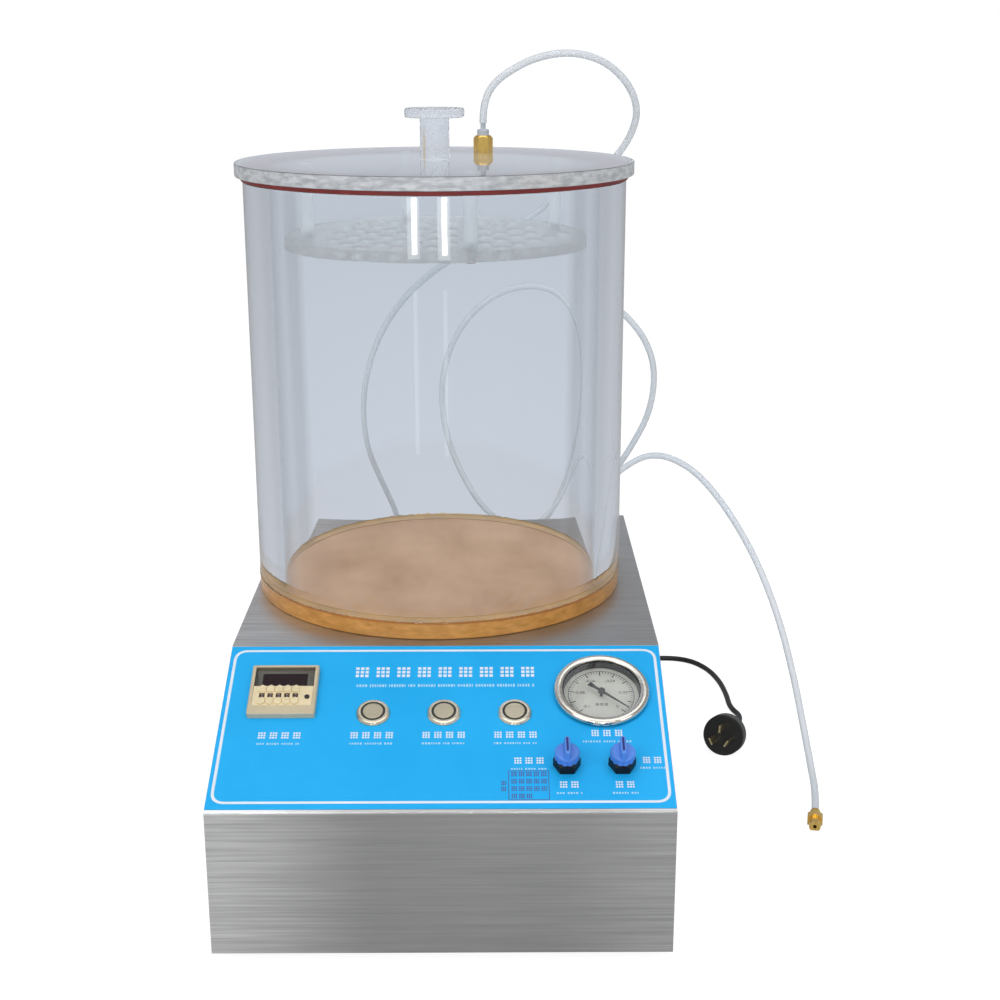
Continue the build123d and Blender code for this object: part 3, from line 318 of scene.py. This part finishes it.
def clear_materials():
    """The acrylic pieces, the hose, the glue and the gauge's glass."""
    m = {
        "lid": acrylic("lid_acrylic", (0.93, 0.95, 0.965), 0.02),
        "rod": acrylic("rod_acrylic", (0.96, 0.97, 0.98), 0.04, bend=1.12, through=0.6),
        "knob": acrylic("knob_acrylic", (0.97, 0.98, 1.0), 0.22, 0.0003, 1.3, 0.85),
        "glue": acrylic("glue", (0.95, 0.66, 0.30), 0.12, 0.0002),
    }
    tint = (0.955, 0.97, 0.985)
    wall = clear("wall_acrylic", tint, 0.0)
    # Painted shade and painted light: the wall is grey where it turns from the eye and paler again at its very edge.
    turned = turned_away(wall, 0.5)
    painted_edge_shade = blend_colors(wall, spread(wall, turned, 0, 1, 0.41, 0.49), tint, (0.60, 0.605, 0.61))
    m["wall"] = shade(wall, spread(wall, turned, 0, 1, 0.56, 0.66), painted_edge_shade, (0.78, 0.79, 0.81))

    edge = clear("lid_edge", (0.80, 0.82, 0.84), 0.32, through=0.45)
    cloudy = spread(edge, noise(edge, 0.010, (1, 1, 0.35), 3.0), 0, 1, 0.35, 0.65)
    m["lid_edge"] = shade(edge, cloudy, (0.52, 0.54, 0.56), (0.92, 0.94, 0.96))

    plate = clear("plate_acrylic", (0.97, 0.975, 0.98), 0.2, 1.25, 0.78)
    speckle = noise(plate, 0.003, detail=4.0, rough=0.7)
    shade(plate, spread(plate, speckle, 0, 1, 0.38, 0.62), (0.84, 0.84, 0.83), (1.0, 1.0, 1.0))
    m["plate"] = bump(plate, speckle, 0.0012, 0.9)

    hose = principled("hose", (0.92, 0.94, 0.96), 0.2, IOR=1.2, Transmission_Weight=0.4)
    # Painted shade: the hose is greyer towards its sides, where it turns from the eye.
    shade(hose, turned_away(hose, 0.35), (0.96, 0.98, 1.0), (0.66, 0.70, 0.74))
    feed(hose, "Roughness", spread(hose, noise(hose, 0.01), 0.15, 0.26))
    m["hose"] = let_light_through(hose, (0.75, 0.78, 0.8))

    glass = principled("gauge_glass", (0.97, 0.98, 0.98), 0.02, IOR=1.45, Transmission_Weight=1.0)
    m["gauge_glass"] = let_light_through(glass, (0.94, 0.95, 0.95))
    return m


def build_materials():
    """Every material of the part, by the name that paint() is given."""
    m = clear_materials()
    m.update({name: brushed(name, *values) for name, values in BRUSHED.items()})
    m.update({name: moulded(name, **values) for name, values in MOULDED.items()})
    # The cabinet's steel, with painted light that is brightest at its left end and darkest in its middle.
    m["stainless"] = side_lit("stainless", 0.16, [(0.0, 0.98), (0.38, 0.46), (0.72, 0.47), (1.0, 0.64)], 0.31, 0.49)
    m["timer_smoked"] = principled("timer_smoked", (0.02, 0.022, 0.022), 0.25, Alpha=0.42, Specular_IOR_Level=0.2)

    film = principled("overlay_film", (0.018, 0.465, 0.97), 0.38, Specular_IOR_Level=0.12)
    shade(film, spread(film, noise(film, 0.05, detail=2.0), 0, 1), (0.016, 0.445, 0.94), (0.022, 0.485, 1.0))
    grains = noise(film, 0.0005, detail=2.0)
    feed(film, "Roughness", spread(film, grains, 0.34, 0.46))
    m["overlay"] = bump(film, grains, 0.00001, 0.3)

    side = principled("amber_side", (0.61, 0.285, 0.06), 0.28, Coat_Weight=0.4, Coat_Roughness=0.08)
    streaks = spread(side, noise(side, 0.012, (1, 1, 0.35), 4.0), 0, 1)
    shade(side, streaks, (0.55, 0.24, 0.036), (0.80, 0.38, 0.09))
    m["amber_side"] = bump(side, noise(side, 0.006, (1, 1, 0.5)), 0.00015, 0.5)

    top = principled("amber_top", (0.62, 0.32, 0.15), 0.4, Specular_IOR_Level=0.3)
    mottle = spread(top, noise(top, 0.05, (1, 2, 1), 4.0), 0, 1)
    shade(top, mottle, (0.53, 0.265, 0.11), (0.76, 0.44, 0.24))
    m["amber_top"] = bump(top, noise(top, 0.01), 0.0001, 0.3)
    return m


MATERIALS = build_materials()


# ---------------------------------------------------------------- making and placing pieces
def paint(piece, *names):
    """Gives a piece its materials, one slot each."""
    while len(piece.material_slots) < len(names):
        piece.data.materials.append(None)
    for slot, name in zip(piece.material_slots, names):
        slot.material = MATERIALS[name]
    return piece


def add_mesh(name, vertices, faces, *materials, sharp=SHARP):
    """A mesh piece from points in metres, smooth but for its sharp edges."""
    mesh = bpy.data.meshes.new(name)
    mesh.from_pydata([tuple(v) for v in vertices], [], faces)
    mesh.polygons.foreach_set("use_smooth", [True] * len(mesh.polygons))
    mesh.set_sharp_from_angle(angle=math.radians(sharp))
    piece = bpy.data.objects.new(name, mesh)
    scene.collection.objects.link(piece)
    return paint(piece, *materials)


def rectangle(left, right, low, high):
    """Corners of a rectangle, anticlockwise from the lower left. In a section, left is the inner radius."""
    return [(left, low), (right, low), (right, high), (left, high)]


def rounded(outline, radii, steps=4):
    """A closed outline with its corners rounded. A corner of radius 0 stays sharp."""
    out = []
    count = len(outline)
    for i, point in enumerate(outline):
        here = Vector(point)
        before, after = Vector(outline[i - 1]), Vector(outline[(i + 1) % count])
        radius = radii[i] if isinstance(radii, (list, tuple)) else radii
        into, onward = (here - before).normalized(), (after - here).normalized()
        turn = into.angle(onward) if into.length and onward.length else 0
        if radius <= 0 or turn < 1e-3:
            out.append(here)
            continue
        cut = min(radius * math.tan(turn / 2), (here - before).length * 0.49, (after - here).length * 0.49)
        first, last = here - into * cut, here + onward * cut
        for k in range(steps + 1):
            t = k / steps
            out.append(first * (1 - t) ** 2 + here * 2 * t * (1 - t) + last * t**2)
    return out


def lathe(name, profile, *materials, steps=192):
    """Solid of revolution round the chamber's axis, from a closed outline of (radius, z) in millimetres."""
    vertices, faces = [], []
    rows = len(profile)
    for k in range(steps):
        angle = 2 * math.pi * k / steps
        c, s = math.cos(angle), math.sin(angle)
        vertices += [((CHAMBER[0] + r * c) * MM, (CHAMBER[1] + r * s) * MM, z * MM) for r, z in profile]
    for k in range(steps):
        a, b = k * rows, (k + 1) % steps * rows
        for i in range(rows):
            j = (i + 1) % rows
            if profile[i][0] < 1e-6 and profile[j][0] < 1e-6:
                continue
            faces.append((a + i, b + i, b + j, a + j))
    piece = add_mesh(name, vertices, faces, *materials)
    work = bmesh.new()
    work.from_mesh(piece.data)
    bmesh.ops.remove_doubles(work, verts=work.verts, dist=1e-7)
    bmesh.ops.recalc_face_normals(work, faces=work.faces)
    work.to_mesh(piece.data)
    work.free()
    piece.data.set_sharp_from_angle(angle=math.radians(SHARP))
    # Large faces keep straight normals, so the small roundings don't bend what they mirror.
    even = piece.modifiers.new("even", "WEIGHTED_NORMAL")
    even.weight = 100
    even.keep_sharp = True
    return piece


# The sloped panel: rise over run, then its lower edge, where s is 0.
TILT = math.atan2(61.5, 144.2)
PANEL = Matrix.Translation((0, -0.238, 0.1145)) @ Matrix.Rotation(TILT, 4, "X")


def on_panel(x, s, z=0.0):
    """Point of the panel in metres, from millimetres to the right, up the slope and out of it."""
    return PANEL @ Vector((x * MM, s * MM, z * MM))


def flat_shapes(name, outlines, height, material, body="cabinet"):
    """Thin printed shapes on the panel, each an outline of (x, s) in millimetres."""
    vertices, faces = [], []
    for outline in outlines:
        faces.append(tuple(range(len(vertices), len(vertices) + len(outline))))
        vertices += [on_panel(p[0], p[1], height) for p in outline]
    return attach(add_mesh(name, vertices, faces, material), body)


def box_outline(x, s, w, h, radius=0.0):
    """Outline of a rectangle about its centre, its corners rounded."""
    corners = rectangle(x - w / 2, x + w / 2, s - h / 2, s + h / 2)
    return rounded(corners, radius) if radius else [Vector(c) for c in corners]


def frame_outlines(outer, inner):
    """The band between two outlines with the same number of points, as quads."""
    count = len(outer)
    return [(outer[i], outer[(i + 1) % count], inner[(i + 1) % count], inner[i]) for i in range(count)]


# ---------------------------------------------------------------- cords
PUMP_HOSE = [
    (88, 262, 110), (88, 283, 110), (91, 306, 115), (101, 320, 129), (119, 324, 150), (142, 318, 179),
    (168, 304, 222), (188, 292, 268), (188, 286, 320), (158, 283, 362), (110, 281, 388), (56, 280, 386),
    (12, 279, 358), (-12, 278, 312), (-12, 277, 258), (8, 276, 208), (38, 275, 168), (82, 274, 152),
    (124, 273, 176), (156, 272, 212), (188, 269, 230), (224, 250, 218), (252, 216, 188), (274, 178, 152),
    (290, 142, 110), (300, 110, 66), (305, 76, 28), (306, 42, 7), (303, 8, 3.4), (296, -26, 3.4),
]
LID_HOSE = [
    (27.824, 173.945, 537.8), (27.824, 173.945, 551.8), (34.8, 174.8, 568), (50, 176, 580), (73, 178, 591),
    (101, 182, 595), (129, 188, 588), (150, 196, 570), (160, 204, 548), (156, 213, 527), (144, 221, 507),
    (120, 229, 482), (92, 236, 458), (32, 236, 434), (-26, 238, 404), (-70, 240, 360), (-94, 244, 304),
    (-96, 258, 246), (-82, 290, 200), (-67, 313, 162), (-62, 320, 133), (-60.5, 315, 111), (-60, 302, 97.5),
    (-60, 282, 91.5), (-60, 262, 91.5),
]
LEAD_START = [
    (116, 272.5, 38), (116, 294, 38), (112, 313, 30), (102, 330, 15), (88, 343, 5), (70, 352, 2.8),
]
LEAD_RUN = [
    (86, 293, 2.8), (126, 294, 2.8), (166, 301, 2.8), (202, 312, 2.8), (231, 307, 2.8), (248, 283, 2.8),
    (256, 250, 2.8), (258, 216, 2.8), (257, 186, 2.8), (265.28, 162.01, 3.4), (256.58, 140.47, 4.07),
]
COIL_CENTRE = (40, 330)
COIL_OUTER, COIL_INNER = 33.4, 21.5  # radii of the outermost and the innermost turn
TURN_STEP = 5.15  # between neighbouring turns
TURNS_IN = 2.6  # turns before the lead runs outwards again
BENCH_REST, LAYER = 2.8, 5.1  # height of the lead's middle on the bench, and of the upper turns above it
CUT_CORNERS = 0.985  # the smooth curve runs inside its control points, at this share of their radius


def lead_coil():
    """The spare lead's turns: three side by side inwards, then up and outwards on top of them."""
    points = []
    points_per_turn = 14
    first, last = math.radians(76), math.radians(287 + 5 * 360)
    count = round((last - first) / (2 * math.pi) * points_per_turn)
    for i in range(count + 1):
        angle = first + (last - first) * i / count
        turns = (angle - first) / (2 * math.pi)
        radius = COIL_OUTER - TURN_STEP * turns if turns < TURNS_IN else 20.0 + TURN_STEP * (turns - TURNS_IN)
        rise = min(1.0, max(0.0, (turns - 2.25) / 0.5))
        height = BENCH_REST + LAYER * rise * rise * (3 - 2 * rise)
        radius = min(max(radius, COIL_INNER), COIL_OUTER) / CUT_CORNERS
        points.append((COIL_CENTRE[0] + radius * math.cos(angle), COIL_CENTRE[1] + radius * math.sin(angle), height))
    return points


def nurbs(name, points, radius=0.0):
    """A smooth curve with the route's points, in millimetres, as its control points."""
    curve = bpy.data.curves.new(name, "CURVE")
    curve.dimensions = "3D"
    spline = curve.splines.new("NURBS")
    spline.points.add(len(points) - 1)
    for target, point in zip(spline.points, points):
        target.co = (*(c * MM for c in point), 1)
    spline.order_u = 3
    spline.use_endpoint_u = True
    spline.resolution_u = 10
    curve.resolution_u = 10
    curve.bevel_depth = radius * MM
    curve.bevel_resolution = 5
    curve.use_fill_caps = radius > 0
    piece = bpy.data.objects.new(name, curve)
    scene.collection.objects.link(piece)
    return piece


def line_of(points):
    """Points along the route's own smooth curve, in metres."""
    guide = nurbs("guide", points)
    bpy.context.view_layer.update()
    mesh = bpy.data.meshes.new_from_object(guide.evaluated_get(bpy.context.evaluated_depsgraph_get()))
    line = [v.co.copy() for v in mesh.vertices]
    bpy.data.objects.remove(guide)
    return line


def swept(name, line, radius, material, sides=16):
    """A round tube along a line of points, with closed ends."""
    vertices, faces = [], []
    across = None
    for i, point in enumerate(line):
        ahead = (line[min(i + 1, len(line) - 1)] - line[max(i - 1, 0)]).normalized()
        if across is None:
            across = ahead.orthogonal().normalized()
        across = (across - ahead * across.dot(ahead)).normalized()
        other = ahead.cross(across)
        for k in range(sides):
            angle = 2 * math.pi * k / sides
            vertices.append(point + (across * math.cos(angle) + other * math.sin(angle)) * radius)
    for i in range(len(line) - 1):
        for k in range(sides):
            n = (k + 1) % sides
            faces.append((i * sides + k, i * sides + n, (i + 1) * sides + n, (i + 1) * sides + k))
    faces.append(tuple(reversed(range(sides))))
    faces.append(tuple((len(line) - 1) * sides + k for k in range(sides)))
    return add_mesh(name, vertices, faces, material)


def make_cords():
    """The two hoses and the mains lead."""
    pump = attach(paint(nurbs("pump_hose_tube", PUMP_HOSE, 3.0), "hose"), "cabinet")
    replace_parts(pump, "pump_hose")

    line = line_of(LID_HOSE)
    lid = swept("lid_hose_tube", line, 0.003, "hose")
    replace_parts(lid, "lid_hose")
    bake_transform(lid)

    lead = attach(paint(nurbs("mains_lead", LEAD_START + lead_coil() + LEAD_RUN, 2.5), "lead"), "cabinet")
    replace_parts(lead, "mains_lead_start", "mains_lead_coil", "mains_lead_run")


make_cords()


# ---------------------------------------------------------------- CAD pieces that keep their shape
DRESS = {
    "stainless": ["cabinet_shell"],
    "rear_steel": ["rear_panel"],
    "base_steel": ["base_plate"],
    "screw_steel": ["foot_screws", "cabinet_screws", "button_nuts"],
    "screw_bright": ["press_plate_screws"],
    "overlay": ["panel_overlay"],
    "foot_rubber": ["rubber_feet"],
    "timer_case": ["timer_housing"],
    "timer_beige": ["timer_bezel"],
    "timer_cream": ["timer_switch_block"],
    "timer_smoked": ["timer_window"],
    "timer_red": ["timer_display"],
    "timer_black": ["timer_reset_button"],
    "wheel_dark": [f"timer_digit_wheel_{i}" for i in range(1, 6)],
    "polished": ["gauge_bezel"],
    "gauge_case": ["gauge_case"],
    "gauge_glass": ["gauge_glass"],
    "dial": ["gauge_dial"],
    "pointer": ["gauge_pointer"],
    "button_ring": ["button_rings"],
    "button_steel": [f"button_body_{i}" for i in range(1, 4)],
    "button_cap": [f"button_cap_{i}" for i in range(1, 4)],
    "brass": ["valve_bodies", "lid_fitting", "rear_ports", "rear_port_nuts", "pump_hose_fitting"],
    "nut_black": ["valve_nuts"],
    "knob_blue": ["valve_handle_1", "valve_handle_2"],
    "collar": ["lid_fitting_collar"],
    "plate": ["press_plate"],
    "rod": ["press_plate_rods"],
    "relief": ["strain_relief"],
    "inner_dark": ["solenoid_valve", "terminal_block"],
    "inner_metal": ["manifold_block", "power_supply"],
    "plug": ["mains_plug_body"],
    "blade": ["mains_plug_blades"],
}
for material, members in DRESS.items():
    for member in members:
        paint(nodes[member], material)


# ---------------------------------------------------------------- chamber and lid
TUBE_IN, TUBE_OUT, LID_OUT = 128, 148, 154  # radii of the tube and the lid
DISC_FOOT, DISC_TOP = 176.05, 188.7
TUBE_FOOT, TUBE_TOP = 188.75, 502.3
GASKET_FOOT, GASKET_TOP = 502.35, 505.75
LID_FOOT, LID_TOP = 505.8, 515.8
KNOB_FOOT, KNOB_FLANGE, KNOB_TOP = 515.85, 547.8, 554.8


def by_slope(piece, choose):
    """Gives each face the material slot that choose() returns for the upward part of its normal."""
    for face in piece.data.polygons:
        face.material_index = choose(face.normal.z)


def chamber():
    """The clear wall, its amber base, the gasket, the lid and its knob."""
    outline = rounded(rectangle(TUBE_IN, TUBE_OUT, TUBE_FOOT, TUBE_TOP), 0.8, 3)
    wall = lathe("chamber_tube", outline, "wall", "lid_edge", "amber_seat", steps=256)
    by_slope(wall, lambda up: 1 if up > 0.9 else 2 if up < -0.5 else 0)
    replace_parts(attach(wall, "cabinet"), "chamber_wall")

    outline = rounded(rectangle(0, TUBE_OUT, DISC_FOOT, DISC_TOP), [0, 1.2, 0.8, 0], 3)
    base = lathe("chamber_disc", outline, "amber_side", "amber_top")
    by_slope(base, lambda up: 1 if up > 0.7 else 0)
    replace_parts(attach(base, "cabinet"), "chamber_base")

    outline = rounded(rectangle(127, 149.5, GASKET_FOOT, GASKET_TOP), 0.9, 3)
    gasket = lathe("lid_gasket_ring", outline, "gasket")
    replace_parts(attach(gasket, "lid"), "lid_gasket")

    outline = rounded(rectangle(0, LID_OUT, LID_FOOT, LID_TOP), [0, 1.0, 1.0, 0])
    lid = lathe("lid_disc", outline, "lid", "lid_edge", steps=256)
    by_slope(lid, lambda up: 1 if abs(up) < 0.6 else 0)
    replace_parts(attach(lid, "lid"), "lid_plate")

    spool = rectangle(0, 11.3, KNOB_FOOT, KNOB_FLANGE)[:3] + rectangle(0, 23, KNOB_FLANGE, KNOB_TOP)[1:]
    knob = lathe("lid_knob_spool", rounded(spool, [0, 0, 0, 1.4, 1.4, 0]), "knob", steps=128)
    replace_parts(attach(knob, "lid"), "lid_knob")


def glue_bead():
    """Uneven bead of solvent glue where the tube stands on its base."""
    pick = random.Random(7)
    steps, vertices, faces = 480, [], []
    level = 0.0
    for k in range(steps):
        angle = 2 * math.pi * k / steps
        level = 0.6 * level + pick.uniform(-0.45, 0.45)
        swell, out = abs(level), 148.05 + pick.uniform(0.0, 0.25)
        for r, z in ((out, 188.2 - swell * 0.4), (out + 0.35, 188.8), (out, 189.6 + swell * 1.5)):
            vertices.append(((CHAMBER[0] + r * math.cos(angle)) * MM, (CHAMBER[1] + r * math.sin(angle)) * MM, z * MM))
    for k in range(steps):
        a, b = 3 * k, 3 * ((k + 1) % steps)
        faces += [(a, b, b + 1, a + 1), (a + 1, b + 1, b + 2, a + 2), (a + 2, b + 2, b, a)]
    bead = add_mesh("glue_bead", vertices, faces, "glue", sharp=20)
    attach(bead, "cabinet")


chamber()
glue_bead()


# ---------------------------------------------------------------- panel print
PRINT_HEIGHT = 0.54  # of the print above the bare steel, just over the overlay's film
# Captions under the timer, the buttons and the gauge: x, s, width, number of marks, width of the fine print.
CAPTIONS = (
    (-113.8, 67.7, 30, 4, 30),
    (-49.5, 67.7, 30, 4, 30),
    (0.6, 67.7, 30, 4, 30),
    (50.6, 67.7, 30, 4, 30),
    (114.3, 69.0, 22, 3, 34),
)
# Labels round the valve knobs: x, s, drop to the fine print, number of marks.
KNOB_LABELS = ((59.5, 43.9, 7.4, 3), (86.3, 22.5, 7.4, 2), (124.0, 22.5, 7.4, 2), (143.9, 44.1, 7.0, 2))


def text_mark(x, s, w, h):
    """A small chequer of nine plain squares in place of a printed character."""
    step, size = (w / 3, h / 3), (w * 0.23, h * 0.23)
    return [box_outline(x + i * step[0], s + j * step[1], *size) for i in (-1, 0, 1) for j in (-1, 0, 1)]


def dashes(x, s, w, h, pick):
    """A row of small dashes in place of a line of fine print."""
    out, at, left = [], x - w / 2, pick.randint(3, 7)
    while at < x + w / 2 - 0.6:
        length = min(pick.uniform(0.7, 1.5), x + w / 2 - at)
        out.append(box_outline(at + length / 2, s, length, h * pick.uniform(0.75, 1.0)))
        left -= 1
        at += length + (0.75 if left else 2.0)
        left = left or pick.randint(3, 7)
    return out


def panel_print():
    """Border line and plain marks where the panel carries its print."""
    pick = random.Random(3)
    edge, low, high, line = 154.5, 6.6, 151.8, 2
    outer = rounded(rectangle(-edge, edge, low, high), 10.5, 10)
    inner = rounded(rectangle(line - edge, edge - line, low + line, high - line), 8.5, 10)
    white = frame_outlines(outer, inner)
    title_marks, title_x, title_step = 9, -59.7, 14.98
    for i in range(title_marks):
        white += text_mark(title_x + i * title_step, 128.8, 10.4, 11.0)
    pale = dashes(1.0, 115.3, 128, 3.0, pick)
    mark = 5.6
    for x, s, w, count, fine in CAPTIONS:
        for i in range(count):
            white += text_mark(x - w / 2 + mark / 2 + i * (w - mark) / (count - 1), s, mark, 6.4)
        pale += dashes(x, s - 7.8, fine, 2.0, pick)
    step = 7.6
    for x, s, drop, count in KNOB_LABELS:
        for i in range(count):
            white += text_mark(x + (i - (count - 1) / 2) * step, s, 5.4, 6.2)
        pale += dashes(x, s - drop, step * count + 2, 1.8, pick)
    flat_shapes("panel_print_white", white, PRINT_HEIGHT, "print_white")
    flat_shapes("panel_print_pale", pale, PRINT_HEIGHT, "print_pale")
    # The dark box beside the valve knobs, with four rows in it and two marks at its left.
    purple = frame_outlines(box_outline(59.0, 22.1, 27.6, 25.7), box_outline(59.0, 22.1, 26.7, 24.8))
    for row, count in enumerate((5, 5, 5, 3)):
        for i in range(count):
            purple += text_mark(49.1 + i * 5.05, 31.9 - row * 6.4, 4.1, 4.4)
    for row in range(2):
        purple += text_mark(42.0, 23.9 - row * 5.2, 3.6, 4.0)
    flat_shapes("panel_print_purple", purple, PRINT_HEIGHT, "print_purple")


panel_print()


# ---------------------------------------------------------------- gauge scale, numerals, knob lines
GAUGE = (112.5, 108.0)  # middle of the dial on the panel
DIAL_HEIGHT = -2.94  # of the dial's print, below the panel's face
SCALE_START, SCALE_SWEEP = -45, 270  # degrees, from the right anticlockwise
TICKS, TICKS_PER_NUMBER = 50, 5
DIAL_NUMBERS = ("0", "-0.02", "-0.04", "-0.06", "-0.08", "-0.1")
TIMER = (-114.6, 108.0)  # middle of the timer on the panel
KNOBS_X, KNOBS_S = (85.2, 123.0), 39.8


def numeral(text, size, place):
    """A small flat numeral as a mesh, laid at a matrix."""
    curve = bpy.data.curves.new("numeral", "FONT")
    curve.body = text
    curve.size = size * MM
    curve.align_x = "CENTER"
    curve.align_y = "CENTER"
    holder = bpy.data.objects.new("numeral", curve)
    scene.collection.objects.link(holder)
    bpy.context.view_layer.update()
    mesh = bpy.data.meshes.new_from_object(holder.evaluated_get(bpy.context.evaluated_depsgraph_get()))
    bpy.data.objects.remove(holder)
    mesh.transform(place)
    return mesh


def joined(name, meshes, material, body):
    """One piece from several meshes."""
    work = bmesh.new()
    for mesh in meshes:
        work.from_mesh(mesh)
    whole = bpy.data.meshes.new(name)
    work.to_mesh(whole)
    work.free()
    whole.materials.clear()
    piece = bpy.data.objects.new(name, whole)
    scene.collection.objects.link(piece)
    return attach(paint(piece, material), body)


def on_dial(radius, degrees):
    """Point on the panel at a radius and an angle round the gauge's middle."""
    angle = math.radians(degrees)
    return GAUGE[0] + radius * math.cos(angle), GAUGE[1] + radius * math.sin(angle)


def gauge_scale():
    """Graduations and plain numbers round the gauge's dial."""
    shapes = []
    for i in range(TICKS + 1):
        angle = math.radians(SCALE_START + i * SCALE_SWEEP / TICKS)
        inner, half = (21.2, 0.18) if i % TICKS_PER_NUMBER else (19.4, 0.38)
        ahead, side = Vector((math.cos(angle), math.sin(angle))), Vector((-math.sin(angle), math.cos(angle)))
        near, far = Vector(GAUGE) + ahead * inner, Vector(GAUGE) + ahead * 23.4
        shapes.append([near - side * half, far - side * half, far + side * half, near + side * half])
    arc = range(SCALE_START, SCALE_START + SCALE_SWEEP + 1, 5)
    shapes += [(on_dial(23.9, a), on_dial(23.9, b), on_dial(23.5, b), on_dial(23.5, a)) for a, b in zip(arc, arc[1:])]
    shapes += [p for i in (-1, 0, 1) for p in text_mark(GAUGE[0] + i * 3.2, GAUGE[1] - 9.0, 2.6, 2.8)]
    flat_shapes("gauge_scale_lines", shapes, DIAL_HEIGHT, "dial_print")
    meshes = []
    for i, text in enumerate(DIAL_NUMBERS):
        x, s = on_dial(15.6, SCALE_START + i * SCALE_SWEEP / (len(DIAL_NUMBERS) - 1))
        meshes.append(numeral(text, 3.6, PANEL @ Matrix.Translation((x * MM, s * MM, DIAL_HEIGHT * MM))))
    joined("gauge_scale_numbers", meshes, "dial_print", "cabinet")


def wheel_numbers():
    """The ten digits round each push-wheel."""
    first, wheel_step, drop, depth = TIMER[0] - 14.7, 5.95, 6.2, -1.3
    # Each wheel has ten flats, so a flat lies at the corner radius times the cosine of half its angle.
    lift = Matrix.Translation((0, 0, (6.0 * math.cos(math.radians(18)) + 0.06) * MM))
    for w in range(5):
        axle = PANEL @ Matrix.Translation(((first + wheel_step * w) * MM, (TIMER[1] - drop) * MM, depth * MM))
        turns = [Matrix.Rotation(math.radians(-36 * digit), 4, "X") for digit in range(10)]
        meshes = [numeral(str(digit), 3.9, axle @ turn @ lift) for digit, turn in enumerate(turns)]
        joined(f"wheel_numbers_{w + 1}", meshes, "numeral", f"digit_{w + 1}")


def knob_lines():
    """Dark pointer line along the top of each valve knob's fin."""
    for i, x in enumerate(KNOBS_X):
        line = box_outline(x, KNOBS_S + 0.6, 1.5, 12.0, 0.6)
        flat_shapes(f"knob_line_{i + 1}", [line], 21.25, "knob_line", f"handle_{i + 1}")


gauge_scale()
wheel_numbers()
knob_lines()


# ---------------------------------------------------------------- floor, world and lights
def path_colors(made, plain, seen, mirrored, through):
    """Colour by kind of ray: lighting, camera, glossy and transmission."""
    path = made.node_tree.nodes.new("ShaderNodeLightPath")
    color = plain
    for output, value in (("Is Glossy Ray", mirrored), ("Is Transmission Ray", through), ("Is Camera Ray", seen)):
        color = blend_colors(made, path.outputs[output], color, value)
    return color


def make_world():
    """White to the camera, pale blue through the acrylic, and darker overhead in the metal."""
    world = bpy.data.worlds.new("studio")
    world.use_nodes = True
    height = spread(world, axis_of(world, "Generated", "Z"), 0, 1, 0.10, 0.30)
    shine = blend_colors(world, height, (0.60, 0.63, 0.69), (0.36, 0.36, 0.37))
    color = path_colors(world, (0.40, 0.41, 0.42), (1.0, 1.0, 1.0), shine, (0.66, 0.70, 0.755))
    world.node_tree.links.new(color, world.node_tree.nodes["Background"].inputs["Color"])
    scene.world = world


def make_floor():
    """A matt floor that nearly vanishes in the white, but keeps the part's shadow."""
    mesh = bpy.data.meshes.new("floor")
    mesh.from_pydata([(-30, -30, 0), (30, -30, 0), (30, 60, 0), (-30, 60, 0)], [], [(0, 1, 2, 3)])
    floor = bpy.data.objects.new("floor", mesh)
    scene.collection.objects.link(floor)
    made = principled("floor", grey(0.8), 0.9, Specular_IOR_Level=0.0, Emission_Strength=1.0)
    feed(made, "Base Color", path_colors(made, grey(0.8), grey(0.30), grey(0.30), (0.22, 0.23, 0.25)))
    feed(made, "Emission Color", path_colors(made, grey(0.0), grey(0.90), grey(0.26), (0.48, 0.51, 0.56)))
    mesh.materials.append(made)


def area_light(name, place, aim, width, height, power, tone=(1, 1, 1)):
    """A soft rectangular lamp that only lights and reflects."""
    lamp = bpy.data.lights.new(name, "AREA")
    lamp.shape = "RECTANGLE"
    lamp.size, lamp.size_y = width, height
    lamp.energy = power
    lamp.color = tone
    holder = bpy.data.objects.new(name, lamp)
    scene.collection.objects.link(holder)
    holder.location = place
    holder.rotation_euler = (Vector(aim) - Vector(place)).to_track_quat("-Z", "Y").to_euler()
    holder.visible_camera = False
    holder.visible_transmission = False
    return holder


TUBE_HIGH, TUBE_LOW = (-0.01, 0.06, 0.40), (-0.01, 0.06, 0.30)  # points in the tube that the small lamps face


def make_lights():
    """Three soft lamps, small ones that draw the bright strips on the tube, and one for the glint of the fold."""
    area_light("overhead", (0, -0.4, 2.6), (0, 0, 0.2), 2.6, 2.6, 25)
    area_light("front_left", (-1.7, -2.2, 1.9), (0, 0, 0.25), 1.4, 1.4, 17.5, (1.0, 0.98, 0.95))
    area_light("front_right", (1.9, -1.8, 1.5), (0, 0, 0.3), 1.0, 1.4, 8)
    for side, x in (("left", -0.226), ("right", 0.141)):
        area_light(f"strip_{side}", (x, -1.22, 0.36), TUBE_HIGH, 0.07, 0.10, 0.30)
        area_light(f"halo_{side}", (x - 0.01, -1.21, 0.36), TUBE_HIGH, 0.15, 0.11, 0.20)
        area_light(f"long_strip_{side}", (x, -1.22, 0.14), TUBE_LOW, 0.05, 0.24, 0.06)
    glint = area_light("fold_glint", (0, -2.6, 1.8), (0, -0.2, 0.12), 2.6, 0.5, 12, (1.0, 0.98, 0.92))
    glint.visible_diffuse = False


make_world()
make_floor()
make_lights()
